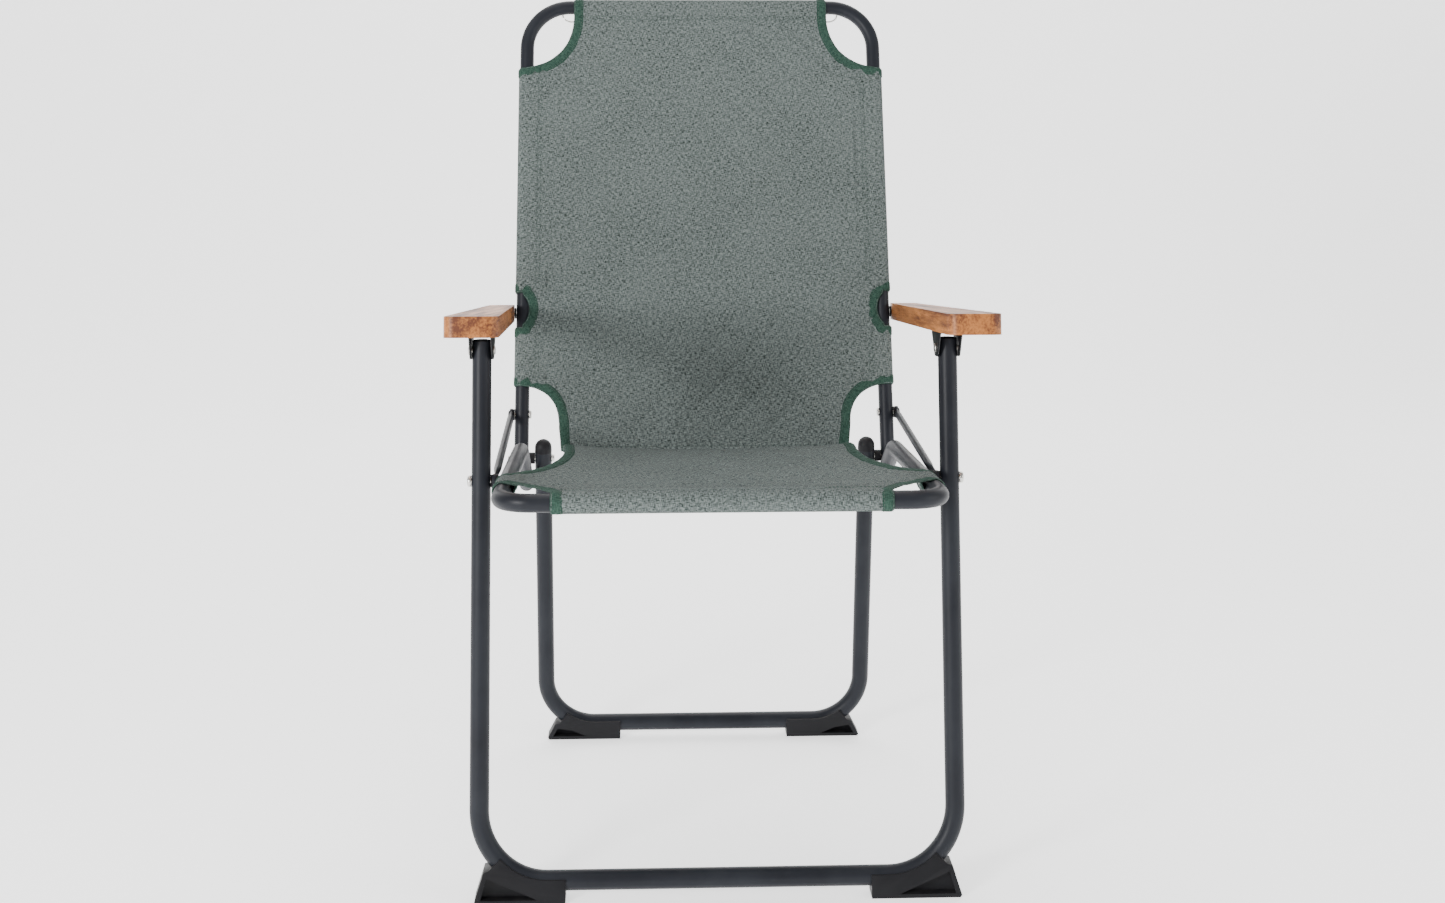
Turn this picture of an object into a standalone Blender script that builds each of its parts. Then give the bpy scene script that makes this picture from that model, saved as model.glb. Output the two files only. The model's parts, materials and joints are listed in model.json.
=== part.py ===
"""Folding camp chair: steel tube frames, wooden armrests and a one-piece fabric sling.

Units are metres, +Z is up and the chair faces -Y. The side view (Y, Z) holds the linkage:
the front legs carry the armrests, the links and the seat frame, the armrests carry the back
frame, and the rear legs hang from the foot of the back frame. Frames nest side by side in X.
"""

import math

import bmesh
import bpy
from mathutils import Matrix, Vector

# Tubes
LEG_TUBE = 0.022
BACK_TUBE = 0.019
SEAT_TUBE = 0.020
WALL = 0.0014
TUBE_SIDES = 12
LINK_BAR = 0.009
LINK_EYE = 0.016
LINK_EYE_THICK = 0.004

# Half widths of the frames, measured to the tube centres
FRONT_X = 0.2675
REAR_X = 0.2144
BACK_X = 0.2435
SEAT_X = 0.2375
LINK_FRONT_X = 0.2525
LINK_REAR_X = 0.2575

# Side view of the front legs
FRONT_FOOT_Y = -0.240
FOOT_TUBE_Z = 0.020
FRONT_FOOT_HALF = 0.0128
REAR_FOOT_HALF = 0.0128
FRONT_LEAN = math.radians(8)
ARM_PIVOT_Z = 0.602
SEAT_PIVOT_Z = 0.456
FRONT_BEND = 0.077

# Side view of the back frame and the rear legs
BACK_PIVOT_Y = 0.162
BACK_PIVOT_Z = 0.402
RECLINE = math.radians(18)
POST_END_Z = 0.395
LINK_PIVOT_Z = 0.4565
ARM_REAR_PIVOT_Z = 0.586
BACK_TOP_Z = 1.000
BACK_BEND = 0.060
REAR_FOOT_Y = 0.227
REAR_BEND = 0.066
SEAT_REAR_PIVOT_Z = 0.368
SEAT_REAR_SETBACK = 0.003

# Seat frame
SEAT_FRONT_Y = -0.325
SEAT_KNEE_Y = 0.060
SEAT_DROP = math.atan(0.082)
SEAT_CORNER = 0.036
SEAT_KNEE_BEND = 0.05
RAIL_PAST_PIVOT = 0.0075
SEAT_REAR_DIP = 0.22

# Armrests
ARM_SLOPE = math.atan(0.1297)
ARM_LENGTH = 0.5917
ARM_PAST_PIVOT = 0.020
ARM_THICK = 0.022
ARM_OUTER_X = 0.2905
ARM_FRONT_INNER_X = 0.233
ARM_REAR_INNER_X = 0.2565
ARM_EDGE = 0.005
BRACKET_HALF_LENGTH = 0.028
BRACKET_SHEET = 0.002

# Fasteners and gaps
PIN = 0.003
PIN_HOLE = 0.0035
SPACER = 0.0075
GAP = 0.0003
SHEET = 0.003

MIRROR = ((-1, "left"), (1, "right"))


def on_front_leg(z):
    """Return the Y of the front legs' centre line at height z."""
    return FRONT_FOOT_Y + (z - FOOT_TUBE_Z) * math.tan(FRONT_LEAN)


def on_back(z):
    """Return the Y of the back posts' centre line at height z."""
    return BACK_PIVOT_Y + (z - BACK_PIVOT_Z) * math.tan(RECLINE)


def on_rear_leg(z):
    """Return the Y of the rear legs' centre line at height z."""
    share = (BACK_PIVOT_Z - z) / (BACK_PIVOT_Z - FOOT_TUBE_Z)
    return BACK_PIVOT_Y + share * (REAR_FOOT_Y - BACK_PIVOT_Y)


def on_rail(y):
    """Return the height of the seat rails' straight front stretch at y."""
    return SEAT_PIVOT_Z + (on_front_leg(SEAT_PIVOT_Z) - y) * math.tan(SEAT_DROP)


ARM_PIVOT = Vector((0, on_front_leg(ARM_PIVOT_Z), ARM_PIVOT_Z))
SEAT_PIVOT = Vector((0, on_front_leg(SEAT_PIVOT_Z), SEAT_PIVOT_Z))
ARM_REAR_PIVOT = Vector((0, on_back(ARM_REAR_PIVOT_Z), ARM_REAR_PIVOT_Z))
LINK_PIVOT = Vector((0, on_back(LINK_PIVOT_Z), LINK_PIVOT_Z))
BACK_PIVOT = Vector((0, BACK_PIVOT_Y, BACK_PIVOT_Z))
SEAT_REAR_PIVOT = Vector((0, on_rear_leg(SEAT_REAR_PIVOT_Z) + SEAT_REAR_SETBACK, SEAT_REAR_PIVOT_Z))
REAR_LEAN = math.atan2(REAR_FOOT_Y - BACK_PIVOT_Y, BACK_PIVOT_Z - FOOT_TUBE_Z)
BODIES = {}


def material(name, colour, roughness, metallic=0.0):
    """Return a plain material."""
    found = bpy.data.materials.new(name)
    found.use_nodes = True
    shader = found.node_tree.nodes["Principled BSDF"]
    shader.inputs["Base Color"].default_value = (*colour, 1)
    shader.inputs["Roughness"].default_value = roughness
    shader.inputs["Metallic"].default_value = metallic
    return found


def make_materials():
    """Return the chair's materials by name."""
    return {
        "tube": material("powder_coated_tube", (0.045, 0.047, 0.052), 0.42),
        "plastic": material("black_plastic", (0.012, 0.012, 0.014), 0.5),
        "bracket": material("black_steel", (0.015, 0.015, 0.017), 0.38),
        "zinc": material("zinc_plated_steel", (0.62, 0.61, 0.58), 0.3, 1.0),
        "wood": material("oiled_hardwood", (0.30, 0.13, 0.05), 0.45),
        "fabric": material("sling_fabric", (0.17, 0.19, 0.18), 0.9),
    }


def body(name, pivot, parent=None):
    """Add the empty that carries a moving body, placed on its joint's axis."""
    empty = bpy.data.objects.new("body_" + name, None)
    bpy.context.collection.objects.link(empty)
    empty.location = pivot
    if parent:
        empty.parent = BODIES[parent][0]
        empty.location = pivot - BODIES[parent][1]
    BODIES[name] = (empty, pivot)


def add(name, mesh, look, body_name):
    """Add a mesh made in the chair's frame as a piece of the named body."""
    empty, pivot = BODIES[body_name]
    mesh.transform(Matrix.Translation(-pivot))
    mesh.shade_smooth()
    mesh.set_sharp_from_angle(angle=math.radians(35))
    piece = bpy.data.objects.new(name, mesh)
    bpy.context.collection.objects.link(piece)
    piece.parent = empty
    piece.data.materials.append(look)
    return piece


def to_mesh(work, name):
    """Turn a bmesh into a mesh whose faces point outwards."""
    bmesh.ops.recalc_face_normals(work, faces=work.faces)
    mesh = bpy.data.meshes.new(name)
    work.to_mesh(mesh)
    work.free()
    return mesh


def arc_at(before, corner, after, radius, steps):
    """Return the points of an arc that rounds one corner of a path."""
    back = (before - corner).normalized()
    ahead = (after - corner).normalized()
    half = back.angle(ahead) / 2
    centre = corner + (back + ahead).normalized() * (radius / math.sin(half))
    start = corner + back * (radius / math.tan(half)) - centre
    axis = ahead.cross(back)
    turn = math.pi - 2 * half
    return [centre + Matrix.Rotation(turn * i / steps, 3, axis) @ start for i in range(steps + 1)]


def bent_path(corners, radii, steps=8):
    """Return the corner points with each inner corner rounded by its radius."""
    corners = [Vector(c) for c in corners]
    points = [corners[0]]
    for i, radius in enumerate(radii, start=1):
        points += arc_at(corners[i - 1], corners[i], corners[i + 1], radius, steps)
    return points + [corners[-1]]


def rounded_outline(corners, radii, steps=4):
    """Return a closed outline with each corner rounded by its radius."""
    flat = [Vector((*c, 0)) for c in corners]
    count = len(flat)
    points = []
    for i, radius in enumerate(radii):
        points += arc_at(flat[i - 1], flat[i], flat[(i + 1) % count], radius, steps)
    return [p.xy for p in points]


def rings_along(work, points, radii, sides, squeeze=None):
    """Add rings of vertices square to a path. squeeze narrows each ring along X."""
    rings = []
    side = None
    for i, point in enumerate(points):
        behind = points[max(i - 1, 0)]
        front = points[min(i + 1, len(points) - 1)]
        ahead = (front - behind).normalized()
        if side is None:
            side = ahead.orthogonal().normalized()
        else:
            side = (side - ahead * side.dot(ahead)).normalized()
        across = ahead.cross(side)
        ring = []
        for k in range(sides):
            angle = 2 * math.pi * (k + 0.5) / sides
            offset = (side * math.cos(angle) + across * math.sin(angle)) * radii[i]
            if squeeze:
                offset.x *= squeeze[i]
            ring.append(work.verts.new(point + offset))
        rings.append(ring)
    return rings


def skin(work, rings):
    """Join each ring to the next with a band of faces."""
    for ring, following in zip(rings, rings[1:]):
        for k in range(len(ring)):
            n = (k + 1) % len(ring)
            work.faces.new((ring[k], ring[n], following[n], following[k]))


def hollow_tube(name, points, diameter, sides=TUBE_SIDES):
    """Return a tube with open ends that follows the points."""
    work = bmesh.new()
    outer = rings_along(work, points, [diameter / 2] * len(points), sides)
    inner = rings_along(work, points, [diameter / 2 - WALL] * len(points), sides)
    skin(work, outer)
    skin(work, inner)
    skin(work, [outer[0], inner[0]])
    skin(work, [outer[-1], inner[-1]])
    return to_mesh(work, name)


def turned(name, profile, centre, closed=False, sides=10):
    """Turn a profile of (x, radius) points about the X axis through the centre."""
    work = bmesh.new()
    verts = [work.verts.new((x, 0, radius)) for x, radius in profile]
    edges = [work.edges.new(pair) for pair in zip(verts, verts[1:])]
    if closed:
        edges.append(work.edges.new((verts[-1], verts[0])))
    bmesh.ops.spin(
        work, geom=verts + edges, cent=(0, 0, 0), axis=(1, 0, 0), angle=2 * math.pi, steps=sides
    )
    bmesh.ops.remove_doubles(work, verts=work.verts, dist=0.00001)
    mesh = to_mesh(work, name)
    mesh.transform(Matrix.Translation(centre))
    return mesh


def both_ways(profile, side):
    """Mirror a turned profile to the given side of the chair."""
    return [(side * x, radius) for x, radius in profile]


def collar(name, near, far, bore, radius, centre, side):
    """Return a washer or spacer between two X positions."""
    profile = [(near, bore), (near, radius), (far, radius), (far, bore)]
    return turned(name, both_ways(profile, side), centre, closed=True)


def prism(name, outline, near, far, placed):
    """Extrude an outline between two offsets; placed turns (u, v, offset) into a point."""
    work = bmesh.new()
    lower = [work.verts.new(placed(u, v, near)) for u, v in outline]
    upper = [work.verts.new(placed(u, v, far)) for u, v in outline]
    work.faces.new(lower)
    work.faces.new(upper)
    skin(work, [lower, upper])
    return to_mesh(work, name)


def cutter(name, mesh, body_name, look):
    """Add a hidden solid that cuts other pieces."""
    piece = add(name, mesh, look, body_name)
    piece.hide_render = True
    piece.display_type = "WIRE"
    return piece


def cut(piece, tool):
    """Cut one solid from a piece."""
    step = piece.modifiers.new("cut_" + tool.name, "BOOLEAN")
    step.operation = "DIFFERENCE"
    step.object = tool


def drill(name, centre, near, far, radius, body_name, look):
    """Add a cutter for a round hole along X between two X positions."""
    profile = [(near, 0), (near, radius), (far, radius), (far, 0)]
    return cutter(name, turned(name, profile, centre, sides=8), body_name, look)


def build_frames(looks):
    """Add the four bent tube frames and return them by name."""
    top = ARM_PIVOT_Z + 0.010
    front = bent_path(
        [
            (-FRONT_X, on_front_leg(top), top),
            (-FRONT_X, FRONT_FOOT_Y, FOOT_TUBE_Z),
            (FRONT_X, FRONT_FOOT_Y, FOOT_TUBE_Z),
            (FRONT_X, on_front_leg(top), top),
        ],
        [FRONT_BEND] * 2,
    )
    rear_top = BACK_PIVOT_Z + 0.009
    rear = bent_path(
        [
            (-REAR_X, on_rear_leg(rear_top), rear_top),
            (-REAR_X, REAR_FOOT_Y, FOOT_TUBE_Z),
            (REAR_X, REAR_FOOT_Y, FOOT_TUBE_Z),
            (REAR_X, on_rear_leg(rear_top), rear_top),
        ],
        [REAR_BEND] * 2,
    )
    back = bent_path(
        [
            (-BACK_X, on_back(POST_END_Z), POST_END_Z),
            (-BACK_X, on_back(BACK_TOP_Z), BACK_TOP_Z),
            (BACK_X, on_back(BACK_TOP_Z), BACK_TOP_Z),
            (BACK_X, on_back(POST_END_Z), POST_END_Z),
        ],
        [BACK_BEND] * 2,
    )
    knee = Vector((0, SEAT_KNEE_Y, on_rail(SEAT_KNEE_Y)))
    end = SEAT_REAR_PIVOT + (SEAT_REAR_PIVOT - knee).normalized() * RAIL_PAST_PIVOT
    seat = bent_path(
        [
            (-SEAT_X, end.y, end.z),
            (-SEAT_X, knee.y, knee.z),
            (-SEAT_X, SEAT_FRONT_Y, on_rail(SEAT_FRONT_Y)),
            (SEAT_X, SEAT_FRONT_Y, on_rail(SEAT_FRONT_Y)),
            (SEAT_X, knee.y, knee.z),
            (SEAT_X, end.y, end.z),
        ],
        [SEAT_KNEE_BEND, SEAT_CORNER, SEAT_CORNER, SEAT_KNEE_BEND],
        steps=6,
    )
    return {
        "front": add("front_leg_frame", hollow_tube("front_leg_frame", front, LEG_TUBE), looks["tube"], "front"),
        "rear": add("rear_leg_frame", hollow_tube("rear_leg_frame", rear, LEG_TUBE), looks["tube"], "rear"),
        "back": add("back_frame", hollow_tube("back_frame", back, BACK_TUBE), looks["tube"], "back"),
        "seat": add("seat_frame", hollow_tube("seat_frame", seat, SEAT_TUBE), looks["tube"], "seat"),
        "front_path": front,
        "rear_path": rear,
    }


def arm_point(x, along, height):
    """Return a point of the armrest's own frame: along from the rear pivot to the front."""
    forward = Vector((0, -math.cos(ARM_SLOPE), math.sin(ARM_SLOPE)))
    upward = Vector((0, math.sin(ARM_SLOPE), math.cos(ARM_SLOPE)))
    return ARM_REAR_PIVOT + Vector((x, 0, 0)) + forward * along + upward * height


def arm_inner_x(along):
    """Return the X of the armrest's inner edge, which runs inwards towards the front."""
    share = (along + ARM_PAST_PIVOT) / (ARM_LENGTH + ARM_PAST_PIVOT)
    return ARM_REAR_INNER_X + share * (ARM_FRONT_INNER_X - ARM_REAR_INNER_X)


def build_armrests(looks, frames):
    """Add the wooden armrests with their brackets, screws, rivets and rear bolts."""
    arm_pin = drill("drill_arm_pivot", ARM_PIVOT, -0.3, 0.3, PIN_HOLE, "arms", looks["zinc"])
    cut(frames["front"], arm_pin)
    rear_pin = drill("drill_arm_rear", ARM_REAR_PIVOT, -0.265, 0.265, PIN_HOLE, "arms", looks["zinc"])
    cut(frames["back"], rear_pin)
    from_rear = ARM_PIVOT - ARM_REAR_PIVOT
    forward = arm_point(0, 1, 0) - ARM_REAR_PIVOT
    bracket_at = from_rear.dot(forward)
    inner_ear = FRONT_X - LEG_TUBE / 2 - 0.0004
    outer_ear = FRONT_X + LEG_TUBE / 2 + 0.0004
    under = -ARM_THICK / 2 - GAP
    plate = under - BRACKET_SHEET
    pin_height = from_rear.dot(arm_point(0, 0, 1) - ARM_REAR_PIVOT)
    for side, word in MIRROR:
        outline = rounded_outline(
            [
                (ARM_REAR_INNER_X, -ARM_PAST_PIVOT),
                (ARM_OUTER_X, -ARM_PAST_PIVOT),
                (ARM_OUTER_X, ARM_LENGTH),
                (ARM_FRONT_INNER_X, ARM_LENGTH),
            ],
            [0.008, 0.010, 0.012, 0.012],
        )
        half = ARM_THICK / 2
        name = "armrest_" + word
        wood = prism(name, outline, -half, half, lambda u, v, w: arm_point(side * u, v, w))
        armrest = add(name, wood, looks["wood"], "arms")
        round_over = armrest.modifiers.new("round_over", "BEVEL")
        round_over.width = ARM_EDGE
        round_over.segments = 2
        round_over.limit_method = "ANGLE"
        round_over.angle_limit = math.radians(60)
        socket = [side * (BACK_X + 0.004), side * (ARM_REAR_INNER_X + 0.020)]
        hole = drill("drill_bolt_" + word, ARM_REAR_PIVOT, min(socket), max(socket), PIN_HOLE, "arms", looks["zinc"])
        cut(armrest, hole)

        profile = rounded_outline(
            [
                (-BRACKET_HALF_LENGTH, under),
                (BRACKET_HALF_LENGTH, under),
                (BRACKET_HALF_LENGTH - 0.001, plate - 0.004),
                (0.009, pin_height - 0.010),
                (-0.009, pin_height - 0.010),
                (-BRACKET_HALF_LENGTH + 0.001, plate - 0.004),
            ],
            [0.0015, 0.0015, 0.004, 0.007, 0.007, 0.004],
            steps=2,
        )
        name = "armrest_bracket_" + word
        block = prism(
            name,
            profile,
            inner_ear - BRACKET_SHEET,
            outer_ear + BRACKET_SHEET,
            lambda u, v, w: arm_point(side * w, bracket_at + u, v),
        )
        bracket = add(name, block, looks["bracket"], "arms")
        channel = [(-0.05, plate), (0.05, plate), (0.05, plate - 0.06), (-0.05, plate - 0.06)]
        name = "channel_" + word
        mesh = prism(
            name, channel, inner_ear, outer_ear, lambda u, v, w: arm_point(side * w, bracket_at + u, v)
        )
        cut(bracket, cutter(name, mesh, "arms", looks["bracket"]))
        cut(bracket, arm_pin)

        head = outer_ear + BRACKET_SHEET + GAP
        tail = inner_ear - BRACKET_SHEET - GAP
        rivet = [
            (tail - 0.0018, 0),
            (tail - 0.0012, 0.0045),
            (tail, 0.0052),
            (tail, PIN),
            (head, PIN),
            (head, 0.0055),
            (head + 0.0014, 0.0045),
            (head + 0.0020, 0),
        ]
        name = "bracket_rivet_" + word
        add(name, turned(name, both_ways(rivet, side), ARM_PIVOT), looks["zinc"], "arms")

        inner = BACK_X - BACK_TUBE / 2 - GAP
        bolt = [
            (inner - 0.0032, 0),
            (inner - 0.0024, 0.004),
            (inner, 0.005),
            (inner, PIN),
            (ARM_REAR_INNER_X + 0.0185, PIN),
            (ARM_REAR_INNER_X + 0.0185, 0),
        ]
        name = "armrest_bolt_" + word
        add(name, turned(name, both_ways(bolt, side), ARM_REAR_PIVOT), looks["zinc"], "arms")
        name = "armrest_spacer_" + word
        near = BACK_X + BACK_TUBE / 2 + GAP
        far = arm_inner_x(SPACER) - GAP
        ring = collar(name, near, far, PIN_HOLE, SPACER, ARM_REAR_PIVOT, side)
        add(name, ring, looks["plastic"], "arms")
    return {"bracket_at": bracket_at, "plate": plate}


def build_arm_screws(looks, place):
    """Add the screws that hold each bracket plate under its armrest."""
    turn = Matrix.Rotation(-ARM_SLOPE, 4, "X")
    for side, word in MIRROR:
        for along, end in ((-0.0195, "rear"), (0.0195, "front")):
            centre = arm_point(side * FRONT_X, place["bracket_at"] + along, place["plate"] - GAP - 0.0008)
            work = bmesh.new()
            bmesh.ops.create_cone(
                work,
                cap_ends=True,
                segments=12,
                radius1=0.0022,
                radius2=0.0038,
                depth=0.0016,
                matrix=Matrix.Translation(centre) @ turn,
            )
            name = f"bracket_screw_{end}_{word}"
            add(name, to_mesh(work, name), looks["zinc"], "arms")


def build_links(looks, frames):
    """Add the two links, their rivets, caps and spacers."""
    pin = drill("drill_link", LINK_PIVOT, -0.27, 0.27, PIN_HOLE, "back", looks["zinc"])
    cut(frames["back"], pin)
    seat_pin = drill("drill_seat_pivot", SEAT_PIVOT, -0.3, 0.3, PIN_HOLE, "front", looks["zinc"])
    cut(frames["front"], seat_pin)
    cut_rail = drill("drill_seat_rail", SEAT_PIVOT, -0.3, 0.3, PIN_HOLE, "seat", looks["zinc"])
    cut(frames["seat"], cut_rail)
    for side, word in MIRROR:
        front = SEAT_PIVOT + Vector((side * LINK_FRONT_X, 0, 0))
        rear = LINK_PIVOT + Vector((side * LINK_REAR_X, 0, 0))
        flat = LINK_EYE_THICK / LINK_BAR
        shares = [0.012, 0.09, 0.15, 0.21, 0.5, 0.9, 0.945, 0.985]
        squeeze = [flat * 0.9, flat * 0.9, 0.75, 1, 1, 1, 0.75, flat * 0.9]
        work = bmesh.new()
        points = [front.lerp(rear, share) for share in shares]
        rings = rings_along(work, points, [LINK_BAR / 2] * len(points), 12, squeeze)
        skin(work, rings)
        work.faces.new(rings[0])
        work.faces.new(rings[-1])
        name = "link_" + word
        link = add(name, to_mesh(work, name), looks["tube"], "links")
        for end, centre in (("front", front), ("rear", rear)):
            half = LINK_EYE_THICK / 2
            disc = [(-half, 0), (-half, LINK_EYE / 2), (half, LINK_EYE / 2), (half, 0)]
            eye_name = f"eye_{end}_{word}"
            eye = cutter(eye_name, turned(eye_name, disc, centre, sides=16), "links", looks["tube"])
            join = link.modifiers.new("join_" + end, "BOOLEAN")
            join.operation = "UNION"
            join.object = eye
        cut(link, seat_pin)

        post = BACK_X + BACK_TUBE / 2
        inner = BACK_X - BACK_TUBE / 2 - GAP
        eye_face = LINK_REAR_X - LINK_EYE_THICK / 2
        rivet = [
            (inner - 0.0030, 0),
            (inner - 0.0022, 0.0038),
            (inner, 0.0055),
            (inner, PIN),
            (eye_face - GAP, PIN),
            (eye_face - GAP, 0),
        ]
        name = "link_rivet_" + word
        add(name, turned(name, both_ways(rivet, side), LINK_PIVOT), looks["zinc"], "back")
        name = "link_spacer_" + word
        ring = collar(name, post + GAP, eye_face - GAP, PIN_HOLE, SPACER, LINK_PIVOT, side)
        add(name, ring, looks["plastic"], "back")
        face = LINK_REAR_X + LINK_EYE_THICK / 2 + GAP
        cap = [(face, 0), (face, 0.0055), (face + 0.0016, 0.0045), (face + 0.0024, 0)]
        name = "link_cap_" + word
        add(name, turned(name, both_ways(cap, side), LINK_PIVOT), looks["bracket"], "links")


def build_seat_pivots(looks):
    """Add the bolts that join the front legs, the links and the seat rails."""
    for side, word in MIRROR:
        outer = FRONT_X + LEG_TUBE / 2 + GAP
        rail = SEAT_X + SEAT_TUBE / 2
        eye = LINK_EYE_THICK / 2
        bolt = [
            (outer + 0.0045, 0),
            (outer + 0.0036, 0.0045),
            (outer, 0.0065),
            (outer, PIN),
            (rail + GAP, PIN),
            (rail + GAP, 0),
        ]
        name = "front_pivot_bolt_" + word
        add(name, turned(name, both_ways(bolt, side), SEAT_PIVOT), looks["zinc"], "front")
        name = "leg_washer_" + word
        near = LINK_FRONT_X + eye + GAP
        ring = collar(name, near, FRONT_X - LEG_TUBE / 2 - GAP, PIN_HOLE, SPACER, SEAT_PIVOT, side)
        add(name, ring, looks["plastic"], "front")
        name = "rail_spacer_" + word
        ring = collar(name, rail + GAP, LINK_FRONT_X - eye - GAP, PIN_HOLE, SPACER, SEAT_PIVOT, side)
        add(name, ring, looks["plastic"], "front")
        face = SEAT_X - SEAT_TUBE / 2 - GAP
        nut = [
            (face - 0.0062, 0),
            (face - 0.0058, 0.0030),
            (face - 0.0040, 0.0056),
            (face, 0.0056),
            (face, PIN),
            (rail - GAP, PIN),
            (rail - GAP, 0),
        ]
        name = "seat_pivot_nut_" + word
        add(name, turned(name, both_ways(nut, side), SEAT_PIVOT), looks["zinc"], "seat")


def build_rear_pivots(looks, frames):
    """Add the bolts at the top of the rear legs: to the back posts and to the seat rails."""
    back_pin = drill("drill_back", BACK_PIVOT, -0.27, 0.27, PIN_HOLE, "back", looks["zinc"])
    cut(frames["back"], back_pin)
    cut(frames["rear"], back_pin)
    seat_pin = drill("drill_seat_rear", SEAT_REAR_PIVOT, -0.27, 0.27, PIN_HOLE, "seat", looks["zinc"])
    cut(frames["seat"], seat_pin)
    cut(frames["rear"], seat_pin)
    leg_inner = REAR_X - LEG_TUBE / 2 - GAP
    leg_outer = REAR_X + LEG_TUBE / 2 + GAP
    for side, word in MIRROR:
        post_outer = BACK_X + BACK_TUBE / 2
        tail = 0.0085 if side < 0 else 0.0025
        bolt = [
            (leg_inner - 0.0036, 0),
            (leg_inner - 0.0028, 0.0036),
            (leg_inner, 0.0048),
            (leg_inner, PIN),
            (post_outer + tail, PIN),
            (post_outer + tail, 0),
        ]
        name = "rear_leg_bolt_" + word
        add(name, turned(name, both_ways(bolt, side), BACK_PIVOT), looks["zinc"], "back")
        name = "rear_leg_spacer_" + word
        far = BACK_X - BACK_TUBE / 2 - GAP
        ring = collar(name, leg_outer, far, PIN_HOLE, SPACER, BACK_PIVOT, side)
        add(name, ring, looks["plastic"], "back")

        rail_outer = SEAT_X + SEAT_TUBE / 2 + GAP
        pin = [
            (leg_inner - 0.0034, 0),
            (leg_inner - 0.0026, 0.0036),
            (leg_inner, 0.0050),
            (leg_inner, PIN),
            (rail_outer, PIN),
            (rail_outer, 0.0055),
            (rail_outer + 0.0018, 0.0046),
            (rail_outer + 0.0024, 0),
        ]
        name = "seat_rear_bolt_" + word
        add(name, turned(name, both_ways(pin, side), SEAT_REAR_PIVOT), looks["zinc"], "seat")
        name = "seat_rear_washer_" + word
        far = SEAT_X - SEAT_TUBE / 2 - GAP
        ring = collar(name, leg_outer, far, PIN_HOLE, SPACER, SEAT_REAR_PIVOT, side)
        add(name, ring, looks["plastic"], "seat")


def build_caps(looks):
    """Add the plastic caps in the open tube ends."""
    ends = {
        "front_leg_cap": ("front", LEG_TUBE, FRONT_X, ARM_PIVOT_Z + 0.010, on_front_leg, -FRONT_LEAN, 1, 0.003),
        "rear_leg_cap": ("rear", LEG_TUBE, REAR_X, BACK_PIVOT_Z + 0.009, on_rear_leg, REAR_LEAN, 1, 0.017),
        "back_post_cap": ("back", BACK_TUBE, BACK_X, POST_END_Z, on_back, -RECLINE, -1, 0.0022),
    }
    for stem_name, (body_name, tube, x, z, line, lean, way, rise) in ends.items():
        radius = tube / 2
        bore = (radius - WALL) * math.cos(math.pi / TUBE_SIDES) - GAP
        depth = 0.0035
        profile = [(-depth, 0), (-depth, bore), (GAP, bore), (GAP, radius)]
        rounds = 4
        straight = max(rise - radius, 0.0008)
        for i in range(rounds):
            angle = math.pi / 2 * i / rounds
            level = straight + (rise - straight) * math.sin(angle)
            profile.append((GAP + level, radius * math.cos(angle)))
        profile.append((GAP + rise, 0))
        for side, word in MIRROR:
            name = f"{stem_name}_{word}"
            mesh = turned(name, profile, Vector((0, 0, 0)), sides=16)
            point = Vector((side * x, line(z), z))
            axis_up = Matrix.Rotation(-way * math.pi / 2, 4, "Y")
            mesh.transform(Matrix.Translation(point) @ Matrix.Rotation(lean, 4, "X") @ axis_up)
            add(name, mesh, looks["plastic"], body_name)


def build_feet(looks, frames):
    """Add the four moulded feet, each with a saddle, a web, an end wall and a flat base."""
    kinds = {
        "front_foot": ("front", FRONT_X, FRONT_FOOT_Y, FRONT_BEND, FRONT_LEAN, 47, 0.1707, frames["front_path"]),
        "rear_foot": ("rear", REAR_X, REAR_FOOT_Y, REAR_BEND, -REAR_LEAN, 38, 0.1140, frames["rear_path"]),
    }
    halves = {"front_foot": FRONT_FOOT_HALF, "rear_foot": REAR_FOOT_HALF}
    for stem_name, (body_name, x, y, bend, lean, reach, inner_end, path) in kinds.items():
        half = halves[stem_name]
        work_path = hollow_groove(stem_name, path)
        for side, word in MIRROR:
            centre_x = x - bend
            centre_z = FOOT_TUBE_Z + bend
            arc = []
            for i in range(7):
                angle = math.radians(reach) * (1 - i / 6)
                arc.append((centre_x + (bend - 0.005) * math.sin(angle), centre_z - (bend - 0.005) * math.cos(angle)))
            end = math.radians(reach)
            low = bend + 0.0125
            shoulder = (centre_x + low * math.sin(end), centre_z - low * math.cos(end))
            wall_top = (shoulder[0] + 0.006, shoulder[1] - 0.002)
            base_out = wall_top[0] + 0.010
            outline = [(inner_end, 0), (inner_end, FOOT_TUBE_Z + 0.005), *reversed(arc), shoulder, wall_top]
            outline += [(base_out, 0.0025), (base_out - 0.002, 0)]

            def placed(u, v, w):
                return Vector((side * u, y + w + (v - FOOT_TUBE_Z) * math.tan(lean), v))

            name = f"{stem_name}_{word}"
            foot = add(name, prism(name, outline, -half, half, placed), looks["plastic"], body_name)
            cut(foot, cutter(f"groove_{name}", work_path.copy(), body_name, looks["plastic"]))
            web = [
                (base_out - 0.007, 0.0045),
                (wall_top[0] - 0.0035, wall_top[1] - 0.006),
                (centre_x + (low + 0.001) * math.sin(end * 0.62), centre_z - (low + 0.001) * math.cos(end * 0.62)),
                (centre_x + 0.012, 0.0045),
            ]
            for face, near, far in (("front", -0.02, -0.002), ("back", 0.002, 0.02)):
                pocket_name = f"pocket_{face}_{name}"
                pocket = prism(pocket_name, web, near, far, placed)
                cut(foot, cutter(pocket_name, pocket, body_name, looks["plastic"]))


def hollow_groove(name, path):
    """Return the solid bar that cuts a frame's tube from its feet."""
    work = bmesh.new()
    rings = rings_along(work, path, [LEG_TUBE / 2 + GAP] * len(path), TUBE_SIDES)
    skin(work, rings)
    work.faces.new(rings[0])
    work.faces.new(rings[-1])
    return to_mesh(work, "groove_" + name)


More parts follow.
